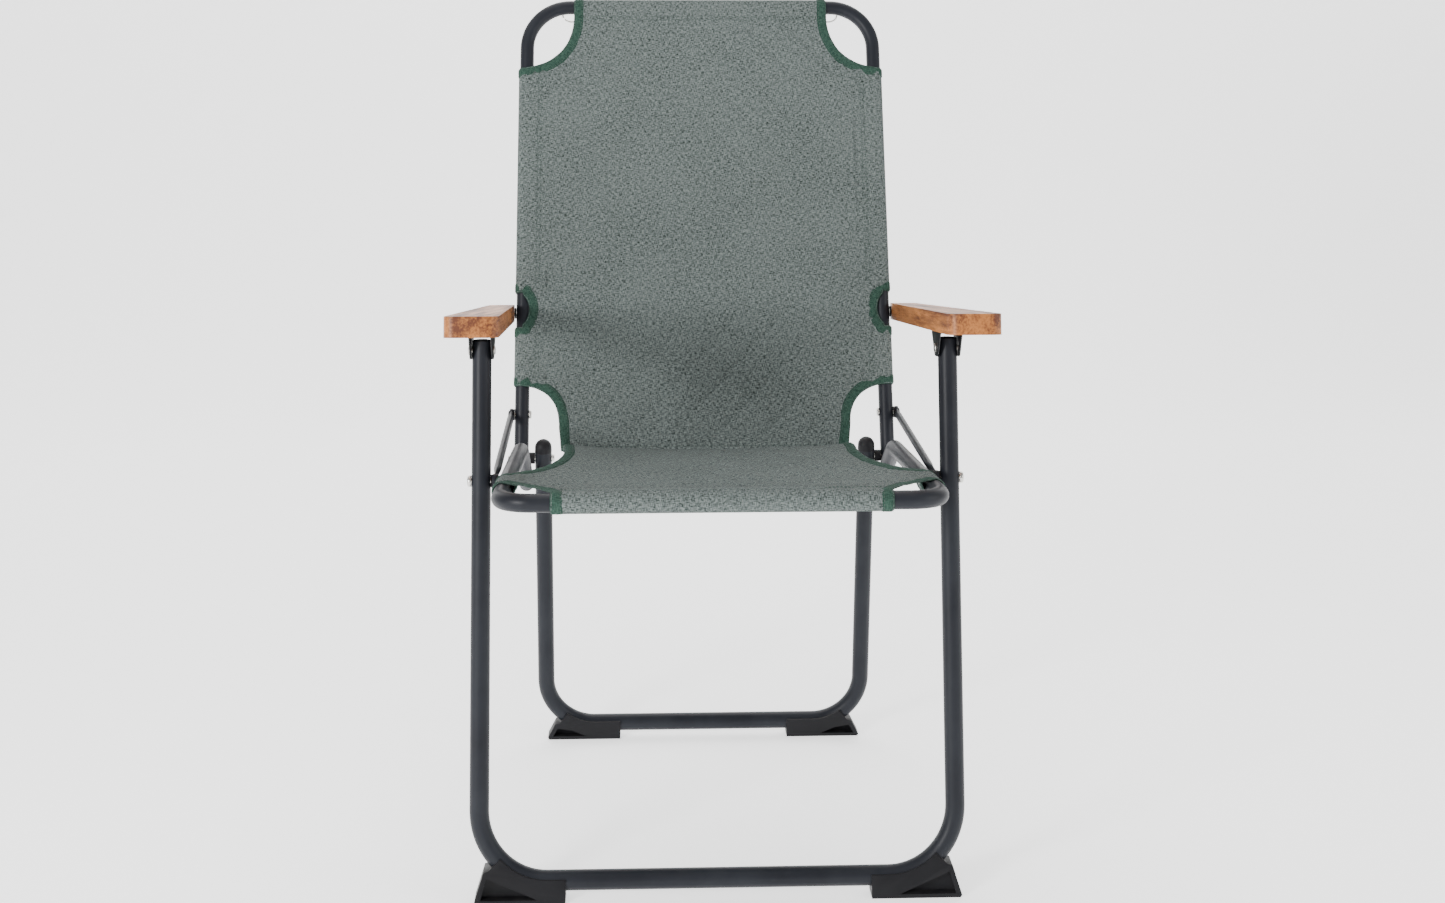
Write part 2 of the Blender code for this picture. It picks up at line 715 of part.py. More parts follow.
def build_rings(looks):
    """Add the two wire loops under the top tube, beside the sling's sleeve."""
    radius = 0.0011
    for side, word in MIRROR:
        down = Vector((0, -math.sin(RECLINE), -math.cos(RECLINE)))
        centre = Vector((side * 0.181, on_back(BACK_TOP_Z), BACK_TOP_Z))
        centre += down * (BACK_TUBE / 2 + 2 * radius)
        points = []
        for i in range(9):
            angle = math.pi * i / 8
            points.append(centre + Vector((0.013 * math.cos(angle), 0, 0)) + down * 0.0095 * math.sin(angle))
        work = bmesh.new()
        rings = rings_along(work, points, [radius] * len(points), 8)
        skin(work, rings)
        work.faces.new(rings[0])
        work.faces.new(rings[-1])
        name = "top_loop_" + word
        add(name, to_mesh(work, name), looks["zinc"], "back")


def cloth_solid(name, stations, thickness=SHEET):
    """Return a closed sheet from stations of (centre point, normal, half width, sag)."""
    flat_from = 0.91
    columns = (-1, -flat_from, -0.5, 0, 0.5, flat_from, 1)
    work = bmesh.new()
    rings = []
    for centre, normal, half_width, sag in stations:
        front = []
        back = []
        for share in columns:
            drop = sag * max(0, 1 - (share / flat_from) ** 2)
            point = centre + Vector((share * half_width, 0, 0)) - normal * drop
            front.append(work.verts.new(point + normal * thickness / 2))
            back.append(work.verts.new(point - normal * thickness / 2))
        rings.append(front + back[::-1])
    skin(work, rings)
    work.faces.new(rings[0])
    work.faces.new(rings[-1])
    return to_mesh(work, name)


def build_sling(looks):
    """Add the plain solids of the sling: the back panel and the seat panel."""
    normal = Vector((0, -math.cos(RECLINE), math.sin(RECLINE)))
    lift = BACK_TUBE / 2 + GAP + SHEET / 2
    edge = BACK_X + BACK_TUBE / 2
    back_outline = [
        (0.425, 0.190, 0.004),
        (0.455, 0.195, 0.006),
        (0.4755, 0.203, 0.007),
        (0.488, 0.222, 0.008),
        (0.492, edge, 0.008),
        (0.566, edge, 0.010),
        (0.575, 0.237, 0.010),
        (0.589, 0.2345, 0.010),
        (0.603, 0.237, 0.010),
        (0.612, edge, 0.010),
        (0.760, edge, 0.009),
        (0.913, edge, 0.006),
        (0.919, 0.215, 0.005),
        (0.933, 0.195, 0.003),
        (0.950, 0.183, 0.001),
        (0.975, 0.1775, 0),
        (1.002, 0.177, 0),
    ]
    stations = []
    for z, half_width, sag in back_outline:
        stations.append((Vector((0, on_back(z), z)) + normal * lift, normal, half_width, sag))
    add("sling_back", cloth_solid("sling_back", stations), looks["fabric"], "back")

    lift = SEAT_TUBE / 2 + GAP + SHEET / 2
    edge = SEAT_X + SEAT_TUBE / 2
    seat_outline = [
        (-0.0105, 0.1785, 0),
        (0.010, 0.180, 0),
        (0.030, 0.198, 0.001),
        (0.048, 0.215, 0.002),
        (0.062, 0.232, 0.004),
        (0.068, edge, 0.005),
        (0.125, edge, 0.008),
        (0.132, 0.232, 0.008),
        (0.150, 0.215, 0.009),
        (0.170, 0.198, 0.010),
        (0.200, 0.186, 0.010),
        (0.260, 0.180, 0.010),
        (0.386, 0.183, 0.007),
        (0.482, 0.188, 0.003),
    ]
    straight = seat_outline[-2][0]
    along = Vector((0, math.cos(SEAT_DROP), -math.sin(SEAT_DROP)))
    upward = Vector((0, math.sin(SEAT_DROP), math.cos(SEAT_DROP)))
    start = Vector((0, SEAT_FRONT_Y, on_rail(SEAT_FRONT_Y))) + upward * lift
    stations = []
    for distance, half_width, sag in seat_outline:
        centre = start + along * distance - upward * max(0, distance - straight) * SEAT_REAR_DIP
        stations.append((centre, upward, half_width, sag))
    add("sling_seat", cloth_solid("sling_seat", stations), looks["fabric"], "seat")


def main():
    """Build the whole chair."""
    for piece in list(bpy.data.objects):
        bpy.data.objects.remove(piece)
    looks = make_materials()
    body("front", Vector((0, 0, 0)))
    body("arms", ARM_PIVOT, "front")
    body("links", SEAT_PIVOT, "front")
    body("back", ARM_REAR_PIVOT, "arms")
    body("rear", BACK_PIVOT, "back")
    body("seat", SEAT_REAR_PIVOT, "rear")
    bpy.context.view_layer.update()
    frames = build_frames(looks)
    place = build_armrests(looks, frames)
    build_arm_screws(looks, place)
    build_links(looks, frames)
    build_seat_pivots(looks)
    build_rear_pivots(looks, frames)
    build_caps(looks)
    build_feet(looks, frames)
    build_rings(looks)
    build_sling(looks)


main()
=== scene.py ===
"""Folding camp chair: bent steel tube, oiled wooden armrests and one long fabric sling."""

import json
import logging
import math
from collections.abc import Callable, Sequence
from dataclasses import dataclass, field
from enum import Enum
from typing import Any

import bmesh
import bpy
from mathutils import Matrix, Vector, noise

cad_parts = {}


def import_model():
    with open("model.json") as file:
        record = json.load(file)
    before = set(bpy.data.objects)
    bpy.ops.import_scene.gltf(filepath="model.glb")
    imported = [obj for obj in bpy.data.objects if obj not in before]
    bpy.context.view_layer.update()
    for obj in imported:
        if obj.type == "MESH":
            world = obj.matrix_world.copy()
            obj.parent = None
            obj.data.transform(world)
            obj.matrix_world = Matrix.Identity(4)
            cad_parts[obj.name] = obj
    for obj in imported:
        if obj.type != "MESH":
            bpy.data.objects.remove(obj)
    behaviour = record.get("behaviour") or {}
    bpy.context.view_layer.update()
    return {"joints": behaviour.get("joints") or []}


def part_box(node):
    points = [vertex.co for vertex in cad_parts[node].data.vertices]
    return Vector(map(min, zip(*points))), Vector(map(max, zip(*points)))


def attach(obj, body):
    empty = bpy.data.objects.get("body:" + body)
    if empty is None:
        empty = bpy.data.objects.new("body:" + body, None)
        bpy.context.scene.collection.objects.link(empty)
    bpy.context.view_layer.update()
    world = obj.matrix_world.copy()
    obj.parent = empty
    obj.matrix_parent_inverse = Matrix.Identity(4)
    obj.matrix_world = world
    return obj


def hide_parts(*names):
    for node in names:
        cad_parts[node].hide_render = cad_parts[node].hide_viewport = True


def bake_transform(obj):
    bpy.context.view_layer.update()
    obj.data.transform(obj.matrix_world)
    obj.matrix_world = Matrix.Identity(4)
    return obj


LOG = logging.getLogger("camp_chair")
RECLINE = math.radians(18)
FRONT_LEAN = math.radians(8)
REAR_LEAN = math.atan2(0.065, 0.382)
SEAT_DROP = math.atan(0.082)
ARM_SLOPE = math.atan(0.1297)

Pair = tuple[float, float]


class Side(Enum):
    """The two sides of the chair."""

    LEFT = -1
    RIGHT = 1

    @property
    def word(self) -> str:
        """The side's name in lower case."""
        return self.name.lower()


class Slot(Enum):
    """The record's material slots."""

    TUBE = "tube"
    PLASTIC = "plastic"
    BLACK_STEEL = "black_steel"
    ZINC = "zinc"
    WOOD = "wood"
    FABRIC = "fabric"


# ---------------------------------------------------------------- shader groups


class Graph:
    """A thin helper for building node trees."""

    def __init__(self, tree: bpy.types.NodeTree) -> None:
        """Keep the tree that the nodes go into."""
        self.tree = tree

    def node(self, kind: str, **settings: Any) -> bpy.types.Node:
        """Add a node and set its properties.

        Args:
            kind: The node's type name.
            settings: Properties of the node.

        Returns:
            The new node.
        """
        made = self.tree.nodes.new(kind)
        for name, value in settings.items():
            setattr(made, name, value)
        return made

    def join(self, out: bpy.types.NodeSocket, into: bpy.types.NodeSocket) -> None:
        """Link an output to an input."""
        self.tree.links.new(out, into)

    def maths(self, operation: str, first: Any, second: Any = 0.0) -> bpy.types.NodeSocket:
        """Add a Math node.

        Args:
            operation: The node's operation.
            first: A socket or a number.
            second: A socket or a number.

        Returns:
            The node's output.
        """
        made = self.node("ShaderNodeMath", operation=operation)
        for socket, value in zip(made.inputs, (first, second)):
            if isinstance(value, bpy.types.NodeSocket):
                self.join(value, socket)
            else:
                socket.default_value = value
        return made.outputs[0]

    def noise(
        self, place: bpy.types.NodeSocket, scale: Sequence[float], detail: float = 3.0
    ) -> bpy.types.NodeSocket:
        """Add a noise stretched by a scale on each axis.

        Args:
            place: The coordinates.
            scale: Cycles per metre along each axis.
            detail: The noise's detail.

        Returns:
            The noise's value.
        """
        mapping = self.node("ShaderNodeMapping")
        mapping.inputs["Scale"].default_value = scale
        self.join(place, mapping.inputs["Vector"])
        made = self.node("ShaderNodeTexNoise")
        made.inputs["Scale"].default_value = 1.0
        made.inputs["Detail"].default_value = detail
        self.join(mapping.outputs["Vector"], made.inputs["Vector"])
        return made.outputs["Fac"]

    def spread(
        self, value: bpy.types.NodeSocket, low: float, high: float, to_low: float, to_high: float
    ) -> bpy.types.NodeSocket:
        """Map a range of values onto another.

        Args:
            value: The value to map.
            low: Lowest value coming in.
            high: Highest value coming in.
            to_low: What the lowest becomes.
            to_high: What the highest becomes.

        Returns:
            The mapped value.
        """
        made = self.node("ShaderNodeMapRange")
        for socket, number in zip(made.inputs[1:5], (low, high, to_low, to_high)):
            socket.default_value = number
        self.join(value, made.inputs[0])
        return made.outputs[0]

    def mix(self, share: bpy.types.NodeSocket, first: Any, second: Any) -> bpy.types.NodeSocket:
        """Mix two colours.

        Args:
            share: How much of the second colour shows.
            first: A socket or a colour.
            second: A socket or a colour.

        Returns:
            The mixed colour.
        """
        made = self.node("ShaderNodeMix", data_type="RGBA")
        self.join(share, made.inputs[0])
        for socket, value in ((made.inputs[6], first), (made.inputs[7], second)):
            if isinstance(value, bpy.types.NodeSocket):
                self.join(value, socket)
            else:
                socket.default_value = (*value, 1.0)
        return made.outputs[2]


def new_group(
    name: str, inputs: dict[str, tuple[str, Any]], outputs: dict[str, str]
) -> tuple[Graph, bpy.types.Node, bpy.types.Node]:
    """Start a shader node group.

    Args:
        name: The group's name.
        inputs: Socket names with their type and default.
        outputs: Socket names with their type.

    Returns:
        The graph, the group's input node and its output node.
    """
    tree = bpy.data.node_groups.new(name, "ShaderNodeTree")
    for socket, (kind, default) in inputs.items():
        made = tree.interface.new_socket(socket, in_out="INPUT", socket_type=kind)
        if default is not None:
            made.default_value = default
    for socket, kind in outputs.items():
        tree.interface.new_socket(socket, in_out="OUTPUT", socket_type=kind)
    graph = Graph(tree)
    return graph, graph.node("NodeGroupInput"), graph.node("NodeGroupOutput")


def grain_group() -> bpy.types.NodeTree:
    """Build the group for fine surface grain, cloudy tone and settled dust.

    Returns:
        The node group.
    """
    kind = "NodeSocketFloat"
    graph, given, out = new_group(
        "surface_grain",
        {
            "Place": ("NodeSocketVector", None),
            "Grain": (kind, 900.0),
            "Cloud": (kind, 14.0),
            "Dust": (kind, 0.1),
        },
        {"Height": kind, "Tone": kind, "Dust": kind},
    )
    for name, size, detail in (("Height", "Grain", 2.0), ("Tone", "Cloud", 4.0)):
        made = graph.node("ShaderNodeTexNoise")
        made.inputs["Detail"].default_value = detail
        graph.join(given.outputs["Place"], made.inputs["Vector"])
        graph.join(given.outputs[size], made.inputs["Scale"])
        graph.join(made.outputs["Fac"], out.inputs[name])
    facing = graph.node("ShaderNodeNewGeometry")
    split = graph.node("ShaderNodeSeparateXYZ")
    graph.join(facing.outputs["Normal"], split.inputs[0])
    upward = graph.spread(split.outputs["Z"], 0.2, 1.0, 0.0, 1.0)
    patches = graph.noise(given.outputs["Place"], (60.0, 60.0, 60.0), 5.0)
    soft = graph.spread(patches, 0.35, 0.7, 0.2, 1.0)
    dust = graph.maths("MULTIPLY", graph.maths("MULTIPLY", upward, soft), given.outputs["Dust"])
    graph.join(dust, out.inputs["Dust"])
    return graph.tree


def weave_group() -> bpy.types.NodeTree:
    """Build the group for a plain weave of mixed light and dark yarns.

    Returns:
        The node group.
    """
    kind = "NodeSocketFloat"
    graph, given, out = new_group(
        "melange_weave",
        {"Place": ("NodeSocketVector", None), "Yarns": (kind, 1150.0), "Contrast": (kind, 1.0)},
        {"Melange": kind, "Height": kind},
    )
    place = given.outputs["Place"]
    split = graph.node("ShaderNodeSeparateXYZ")
    graph.join(place, split.inputs[0])
    waves = []
    for axis in ("X", "Y"):
        turns = graph.maths("MULTIPLY", split.outputs[axis], given.outputs["Yarns"])
        waves.append(graph.maths("SINE", graph.maths("MULTIPLY", turns, math.tau)))
    crossing = graph.maths("MULTIPLY", waves[0], waves[1])
    warp = graph.noise(place, (1700.0, 190.0, 1.0), 3.0)
    weft = graph.noise(place, (200.0, 1500.0, 1.0), 3.0)
    slub = graph.noise(place, (300.0, 430.0, 1.0), 4.0)
    both = graph.maths("ADD", graph.maths("MULTIPLY", warp, 0.39), graph.maths("MULTIPLY", weft, 0.39))
    total = graph.maths("ADD", both, graph.maths("MULTIPLY", slub, 0.22))
    shade = graph.spread(total, 0.43, 0.57, 0.0, 1.0)
    centred = graph.maths("MULTIPLY", graph.maths("SUBTRACT", shade, 0.5), given.outputs["Contrast"])
    graph.join(graph.maths("ADD", centred, 0.5), out.inputs["Melange"])
    height = graph.maths("ADD", graph.maths("MULTIPLY", crossing, 0.35), total)
    graph.join(height, out.inputs["Height"])
    return graph.tree


# ---------------------------------------------------------------- finishes


@dataclass(frozen=True)
class Finish:
    """What every finish shares: a name, its base gloss and how it starts."""

    name: str
    roughness: float
    metallic: float = 0.0
    shine: float = 0.5

    def start(self) -> tuple[Graph, bpy.types.Material, bpy.types.Node]:
        """Make an empty material with a shader set to this finish.

        Returns:
            The graph, the material and its shader.
        """
        made = bpy.data.materials.new(self.name)
        made.use_nodes = True
        shader = made.node_tree.nodes["Principled BSDF"]
        shader.inputs["Roughness"].default_value = self.roughness
        shader.inputs["Metallic"].default_value = self.metallic
        shader.inputs["Specular IOR Level"].default_value = self.shine
        return Graph(made.node_tree), made, shader

    def bump(self, graph: Graph, shader: bpy.types.Node, height: bpy.types.NodeSocket, depth: float) -> None:
        """Feed a height into the shader's normal.

        Args:
            graph: The material's graph.
            shader: The material's shader.
            height: The height, from 0 to 1.
            depth: The bump's full depth in metres.
        """
        made = graph.node("ShaderNodeBump")
        made.inputs["Strength"].default_value = 1.0
        made.inputs["Distance"].default_value = depth
        graph.join(height, made.inputs["Height"])
        graph.join(made.outputs["Normal"], shader.inputs["Normal"])


@dataclass(frozen=True)
class CoatedSurface(Finish):
    """A painted, powder coated, plated or moulded surface."""

    light: tuple[float, float, float] = (0.1, 0.1, 0.1)
    dark: tuple[float, float, float] = (0.05, 0.05, 0.05)
    grain: float = 900.0
    depth: float = 0.00008
    dust: float = 0.03
    rough_swing: float = 0.08

    def build(self, grain: bpy.types.NodeTree) -> bpy.types.Material:
        """Build the material.

        Args:
            grain: The surface grain group.

        Returns:
            The material.
        """
        graph, made, shader = self.start()
        place = graph.node("ShaderNodeTexCoord").outputs["Object"]
        group = graph.node("ShaderNodeGroup", node_tree=grain)
        group.inputs["Grain"].default_value = self.grain
        group.inputs["Dust"].default_value = self.dust
        graph.join(place, group.inputs["Place"])
        tone = graph.spread(group.outputs["Tone"], 0.3, 0.7, 0.0, 1.0)
        colour = graph.mix(tone, self.dark, self.light)
        colour = graph.mix(group.outputs["Dust"], colour, (0.34, 0.31, 0.27))
        graph.join(colour, shader.inputs["Base Color"])
        low = self.roughness - self.rough_swing
        gloss = graph.spread(group.outputs["Tone"], 0.3, 0.7, low, self.roughness + self.rough_swing)
        graph.join(graph.maths("ADD", gloss, group.outputs["Dust"]), shader.inputs["Roughness"])
        self.bump(graph, shader, group.outputs["Height"], self.depth)
        return made


@dataclass(frozen=True)
class OiledWood(Finish):
    """Reddish hardwood with long grain, pores and an oiled sheen."""

    pale: tuple[float, float, float] = (0.52, 0.19, 0.045)
    deep: tuple[float, float, float] = (0.100, 0.026, 0.007)
    pore: tuple[float, float, float] = (0.050, 0.015, 0.006)

    def build(self, grain: bpy.types.NodeTree) -> bpy.types.Material:
        """Build the material.

        Args:
            grain: The surface grain group.

        Returns:
            The material.
        """
        graph, made, shader = self.start()
        place = graph.node("ShaderNodeTexCoord").outputs["Object"]
        turned = graph.node("ShaderNodeMapping")
        turned.inputs["Rotation"].default_value = (ARM_SLOPE, 0.0, 0.0)
        graph.join(place, turned.inputs["Vector"])
        along = turned.outputs["Vector"]
        rings = graph.noise(along, (62.0, 3.2, 50.0), 5.0)
        streak = graph.noise(along, (420.0, 9.0, 380.0), 4.0)
        pores = graph.noise(along, (1500.0, 60.0, 1500.0), 2.0)
        group = graph.node("ShaderNodeGroup", node_tree=grain)
        group.inputs["Cloud"].default_value = 9.0
        group.inputs["Dust"].default_value = 0.02
        graph.join(place, group.inputs["Place"])
        broad = graph.maths("MULTIPLY", rings, 0.62)
        blend = graph.maths("ADD", broad, graph.maths("MULTIPLY", streak, 0.38))
        colour = graph.mix(graph.spread(blend, 0.42, 0.60, 0.0, 1.0), self.pale, self.deep)
        warm = graph.mix(graph.spread(group.outputs["Tone"], 0.35, 0.7, 0.0, 0.45), colour, self.deep)
        holes = graph.spread(pores, 0.60, 0.70, 0.0, 0.75)
        graph.join(graph.mix(holes, warm, self.pore), shader.inputs["Base Color"])
        gloss = graph.spread(blend, 0.35, 0.65, self.roughness - 0.07, self.roughness + 0.12)
        graph.join(graph.maths("ADD", gloss, graph.maths("MULTIPLY", holes, 0.2)), shader.inputs["Roughness"])
        raised = graph.maths("MULTIPLY", blend, 0.6)
        height = graph.maths("SUBTRACT", raised, graph.maths("MULTIPLY", holes, 0.5))
        self.bump(graph, shader, height, 0.00035)
        shader.inputs["Coat Weight"].default_value = 0.12
        shader.inputs["Coat Roughness"].default_value = 0.35
        return made


@dataclass(frozen=True)
class WovenCloth(Finish):
    """A woven cloth that reads the piece's own UV map, in metres."""

    light: tuple[float, float, float] = (0.195, 0.226, 0.217)
    dark: tuple[float, float, float] = (0.012, 0.019, 0.017)
    yarns: float = 1150.0
    contrast: float = 1.0
    depth: float = 0.00035

    def build(self, weave: bpy.types.NodeTree, grain: bpy.types.NodeTree) -> bpy.types.Material:
        """Build the material.

        Args:
            weave: The weave group.
            grain: The surface grain group.

        Returns:
            The material.
        """
        graph, made, shader = self.start()
        coordinates = graph.node("ShaderNodeUVMap", uv_map="cloth")
        group = graph.node("ShaderNodeGroup", node_tree=weave)
        group.inputs["Yarns"].default_value = self.yarns
        group.inputs["Contrast"].default_value = self.contrast
        graph.join(coordinates.outputs["UV"], group.inputs["Place"])
        cover = graph.node("ShaderNodeGroup", node_tree=grain)
        cover.inputs["Cloud"].default_value = 11.0
        cover.inputs["Dust"].default_value = 0.01
        graph.join(graph.node("ShaderNodeTexCoord").outputs["Object"], cover.inputs["Place"])
        colour = graph.mix(group.outputs["Melange"], self.dark, self.light)
        faded = graph.spread(cover.outputs["Tone"], 0.35, 0.68, 0.0, 0.12)
        colour = graph.mix(faded, colour, self.light)
        graph.join(graph.mix(cover.outputs["Dust"], colour, (0.34, 0.33, 0.30)), shader.inputs["Base Color"])
        rough = graph.spread(group.outputs["Melange"], 0.0, 1.0, self.roughness, self.roughness - 0.12)
        graph.join(rough, shader.inputs["Roughness"])
        self.bump(graph, shader, group.outputs["Height"], self.depth)
        shader.inputs["Sheen Weight"].default_value = 0.01
        shader.inputs["Sheen Roughness"].default_value = 0.5
        shader.inputs["Specular IOR Level"].default_value = 0.08
        return made


class Finishes:
    """All the chair's materials, built once."""

    def __init__(self) -> None:
        """Build the groups and the materials."""
        grain = grain_group()
        weave = weave_group()
        self.tube = CoatedSurface(
            "powder_coated_tube",
            0.42,
            shine=0.18,
            light=(0.016, 0.018, 0.023),
            dark=(0.009, 0.010, 0.014),
            depth=0.00012,
            dust=0.01,
            rough_swing=0.03,
        ).build(grain)
        self.plastic = CoatedSurface(
            "black_moulded_plastic",
            0.5,
            shine=0.2,
            light=(0.007, 0.007, 0.009),
            dark=(0.003, 0.003, 0.004),
            grain=1400.0,
        ).build(grain)
        self.black_steel = CoatedSurface(
            "black_painted_steel",
            0.34,
            shine=0.35,
            light=(0.010, 0.010, 0.012),
            dark=(0.005, 0.005, 0.006),
            grain=700.0,
        ).build(grain)
        self.zinc = CoatedSurface(
            "zinc_plated_steel",
            0.28,
            1.0,
            light=(0.72, 0.71, 0.68),
            dark=(0.50, 0.49, 0.46),
            grain=1600.0,
            dust=0.03,
        ).build(grain)
        self.wood = OiledWood("oiled_hardwood", 0.45, shine=0.3).build(grain)
        self.cloth = WovenCloth("sling_cloth", 0.92).build(weave, grain)
        self.tape = WovenCloth(
            "binding_tape",
            0.8,
            light=(0.045, 0.090, 0.068),
            dark=(0.012, 0.034, 0.025),
            yarns=900.0,
            depth=0.0004,
        ).build(weave, grain)
        self.thread = CoatedSurface(
            "sewing_thread", 0.6, light=(0.045, 0.075, 0.062), dark=(0.020, 0.040, 0.032), grain=2600.0
        ).build(grain)
        self.floor = CoatedSurface(
            "pale_floor",
            0.8,
            light=(0.95, 0.95, 0.95),
            dark=(0.93, 0.93, 0.93),
            grain=60.0,
            depth=0.0001,
            dust=0.0,
        ).build(grain)


# ---------------------------------------------------------------- mesh tools


def arc_at(before: Vector, corner: Vector, after: Vector, radius: float, steps: int) -> list[Vector]:
    """Round one corner of a path.

    Args:
        before: The point before the corner.
        corner: The corner.
        after: The point after it.
        radius: The arc's radius.
        steps: How many pieces the arc has.

    Returns:
        The arc's points.
    """
    back = (before - corner).normalized()
    ahead = (after - corner).normalized()
    half = back.angle(ahead) / 2
    centre = corner + (back + ahead).normalized() * (radius / math.sin(half))
    start = corner + back * (radius / math.tan(half)) - centre
    turn = math.pi - 2 * half
    axis = ahead.cross(back)
    return [centre + Matrix.Rotation(turn * i / steps, 3, axis) @ start for i in range(steps + 1)]


def bent_path(corners: Sequence[Sequence[float]], radii: Sequence[float], steps: int = 20) -> list[Vector]:
    """Join corner points with straights and arcs.

    Args:
        corners: The path's corners.
        radii: The bend radius at each inner corner.
        steps: How many pieces each arc has.

    Returns:
        The path's points.
    """
    points = [Vector(c) for c in corners]
    path = [points[0]]
    for i, radius in enumerate(radii, start=1):
        path += arc_at(points[i - 1], points[i], points[i + 1], radius, steps)
    return path + [points[-1]]


def finish_mesh(work: bmesh.types.BMesh, name: str, weld: float = 0.0) -> bpy.types.Mesh:
    """Turn a bmesh into a mesh that faces outwards.

    Args:
        work: The bmesh, which is freed.
        name: The mesh's name.
        weld: Distance under which points are merged.

    Returns:
        The mesh.
    """
    if weld:
        bmesh.ops.remove_doubles(work, verts=work.verts, dist=weld)
    bmesh.ops.recalc_face_normals(work, faces=work.faces)
    mesh = bpy.data.meshes.new(name)
    work.to_mesh(mesh)
    work.free()
    return mesh


def ring_bands(work: bmesh.types.BMesh, rings: Sequence[Sequence[Any]], capped: bool = True) -> None:
    """Join closed rings with faces.

    Args:
        work: The bmesh.
        rings: Rings of vertices.
        capped: Whether the two ends get a face.
    """
    for ring, following in zip(rings, rings[1:]):
        for k in range(len(ring)):
            n = (k + 1) % len(ring)
            work.faces.new((ring[k], ring[n], following[n], following[k]))
    if capped:
        work.faces.new(rings[0])
        work.faces.new(rings[-1])


def swept(name: str, path: Sequence[Vector], radius: float, sides: int = 28) -> bpy.types.Mesh:
    """Sweep a circle along a path.

    Args:
        name: The mesh's name.
        path: The path's points.
        radius: The circle's radius.
        sides: The circle's sides.

    Returns:
        The mesh, capped at both ends.
    """
    work = bmesh.new()
    rings = []
    side = None
    for i, point in enumerate(path):
        ahead = (path[min(i + 1, len(path) - 1)] - path[max(i - 1, 0)]).normalized()
        side = ahead.orthogonal() if side is None else side - ahead * side.dot(ahead)
        side.normalize()
        across = ahead.cross(side)
        turns = [math.tau * (k + 0.5) / sides for k in range(sides)]
        ways = [side * math.cos(t) + across * math.sin(t) for t in turns]
        rings.append([work.verts.new(point + way * radius) for way in ways])
    ring_bands(work, rings)
    return finish_mesh(work, name)


def lathe(
    name: str, profile: Sequence[Pair], place: Matrix, closed: bool = False, sides: int = 32
) -> bpy.types.Mesh:
    """Turn a profile of (x, radius) points about the X axis.

    Args:
        name: The mesh's name.
        profile: The profile's points.
        place: Where the turned shape goes.
        closed: Whether the profile is a closed ring.
        sides: How many steps the turn has.

    Returns:
        The mesh.
    """
    work = bmesh.new()
    verts = [work.verts.new((x, 0.0, radius)) for x, radius in profile]
    edges = [work.edges.new(pair) for pair in zip(verts, verts[1:])]
    if closed:
        edges.append(work.edges.new((verts[-1], verts[0])))
    bmesh.ops.spin(work, geom=verts + edges, cent=(0, 0, 0), axis=(1, 0, 0), angle=math.tau, steps=sides)
    bmesh.ops.transform(work, matrix=place, verts=work.verts)
    return finish_mesh(work, name, 0.000004)


def rounded(profile: Sequence[Pair], radius: float, steps: int = 3) -> list[Pair]:
    """Round the inner corners of an open profile.

    Args:
        profile: The profile's points.
        radius: The rounding's radius.
        steps: How many pieces each arc has.

    Returns:
        The rounded profile.
    """
    flat = [Vector((x, y, 0.0)) for x, y in profile]
    path = bent_path(flat, [radius] * (len(flat) - 2), steps)
    return [(p.x, p.y) for p in path]


def show(
    name: str,
    mesh: bpy.types.Mesh,
    look: bpy.types.Material,
    body: str | None = None,
    replaces: Sequence[str] = (),
    sharp: float = 38.0,
) -> bpy.types.Object:
    """Place a finished mesh in the scene as a piece of the chair.

    Args:
        name: The piece's name.
        mesh: Its mesh, in the chair's frame.
        look: Its material.
        body: The body that it rides on, or None where it rides on no body.
        replaces: The CAD nodes that it stands for.
        sharp: Edges sharper than this many degrees stay crisp.

    Returns:
        The piece.
    """
    mesh.shade_smooth()
    mesh.set_sharp_from_angle(angle=math.radians(sharp))
    mesh.materials.clear()
    mesh.materials.append(look)
    piece = bpy.data.objects.new(name, mesh)
    bpy.context.collection.objects.link(piece)
    if replaces:
        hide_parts(*replaces)
    if body:
        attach(piece, body)
    LOG.info("piece %s: %d faces", name, len(mesh.polygons))
    return piece


def applied(piece: bpy.types.Object) -> None:
    """Turn a piece's modifiers into its mesh."""
    graph = bpy.context.evaluated_depsgraph_get()
    made = bpy.data.meshes.new_from_object(piece.evaluated_get(graph), depsgraph=graph)
    piece.modifiers.clear()
    piece.data = made


def refined_copy(node: str, name: str, width: float, segments: int = 3) -> bpy.types.Mesh:
    """Copy a CAD node's mesh, weld it and round its edges.

    Args:
        node: The CAD node.
        name: The new mesh's name.
        width: The rounding's width.
        segments: The rounding's segments.

    Returns:
        The rounded mesh.
    """
    work = bmesh.new()
    work.from_mesh(bpy.data.objects[node].data)
    bmesh.ops.transform(work, matrix=bpy.data.objects[node].matrix_world, verts=work.verts)
    bmesh.ops.remove_doubles(work, verts=work.verts, dist=0.00002)
    bmesh.ops.dissolve_limit(work, angle_limit=math.radians(1.5), verts=work.verts, edges=work.edges)
    edges = [e for e in work.edges if len(e.link_faces) == 2 and e.calc_face_angle(0.0) > math.radians(28)]
    bmesh.ops.bevel(
        work,
        geom=edges,
        offset=width,
        segments=segments,
        profile=0.5,
        affect="EDGES",
        clamp_overlap=True,
    )
    return finish_mesh(work, name)


# ---------------------------------------------------------------- places in the chair


def joint_place(frame: dict[str, Any], name: str) -> Vector:
    """Return a joint's place in the chair's frame."""
    found = [j for j in frame["joints"] if j["name"] == name]
    return Vector(found[0]["pos_m"])


def centre_of(node: str) -> Vector:
    """Return the middle of a CAD node's box."""
    low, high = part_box(node)
    return (Vector(low) + Vector(high)) / 2


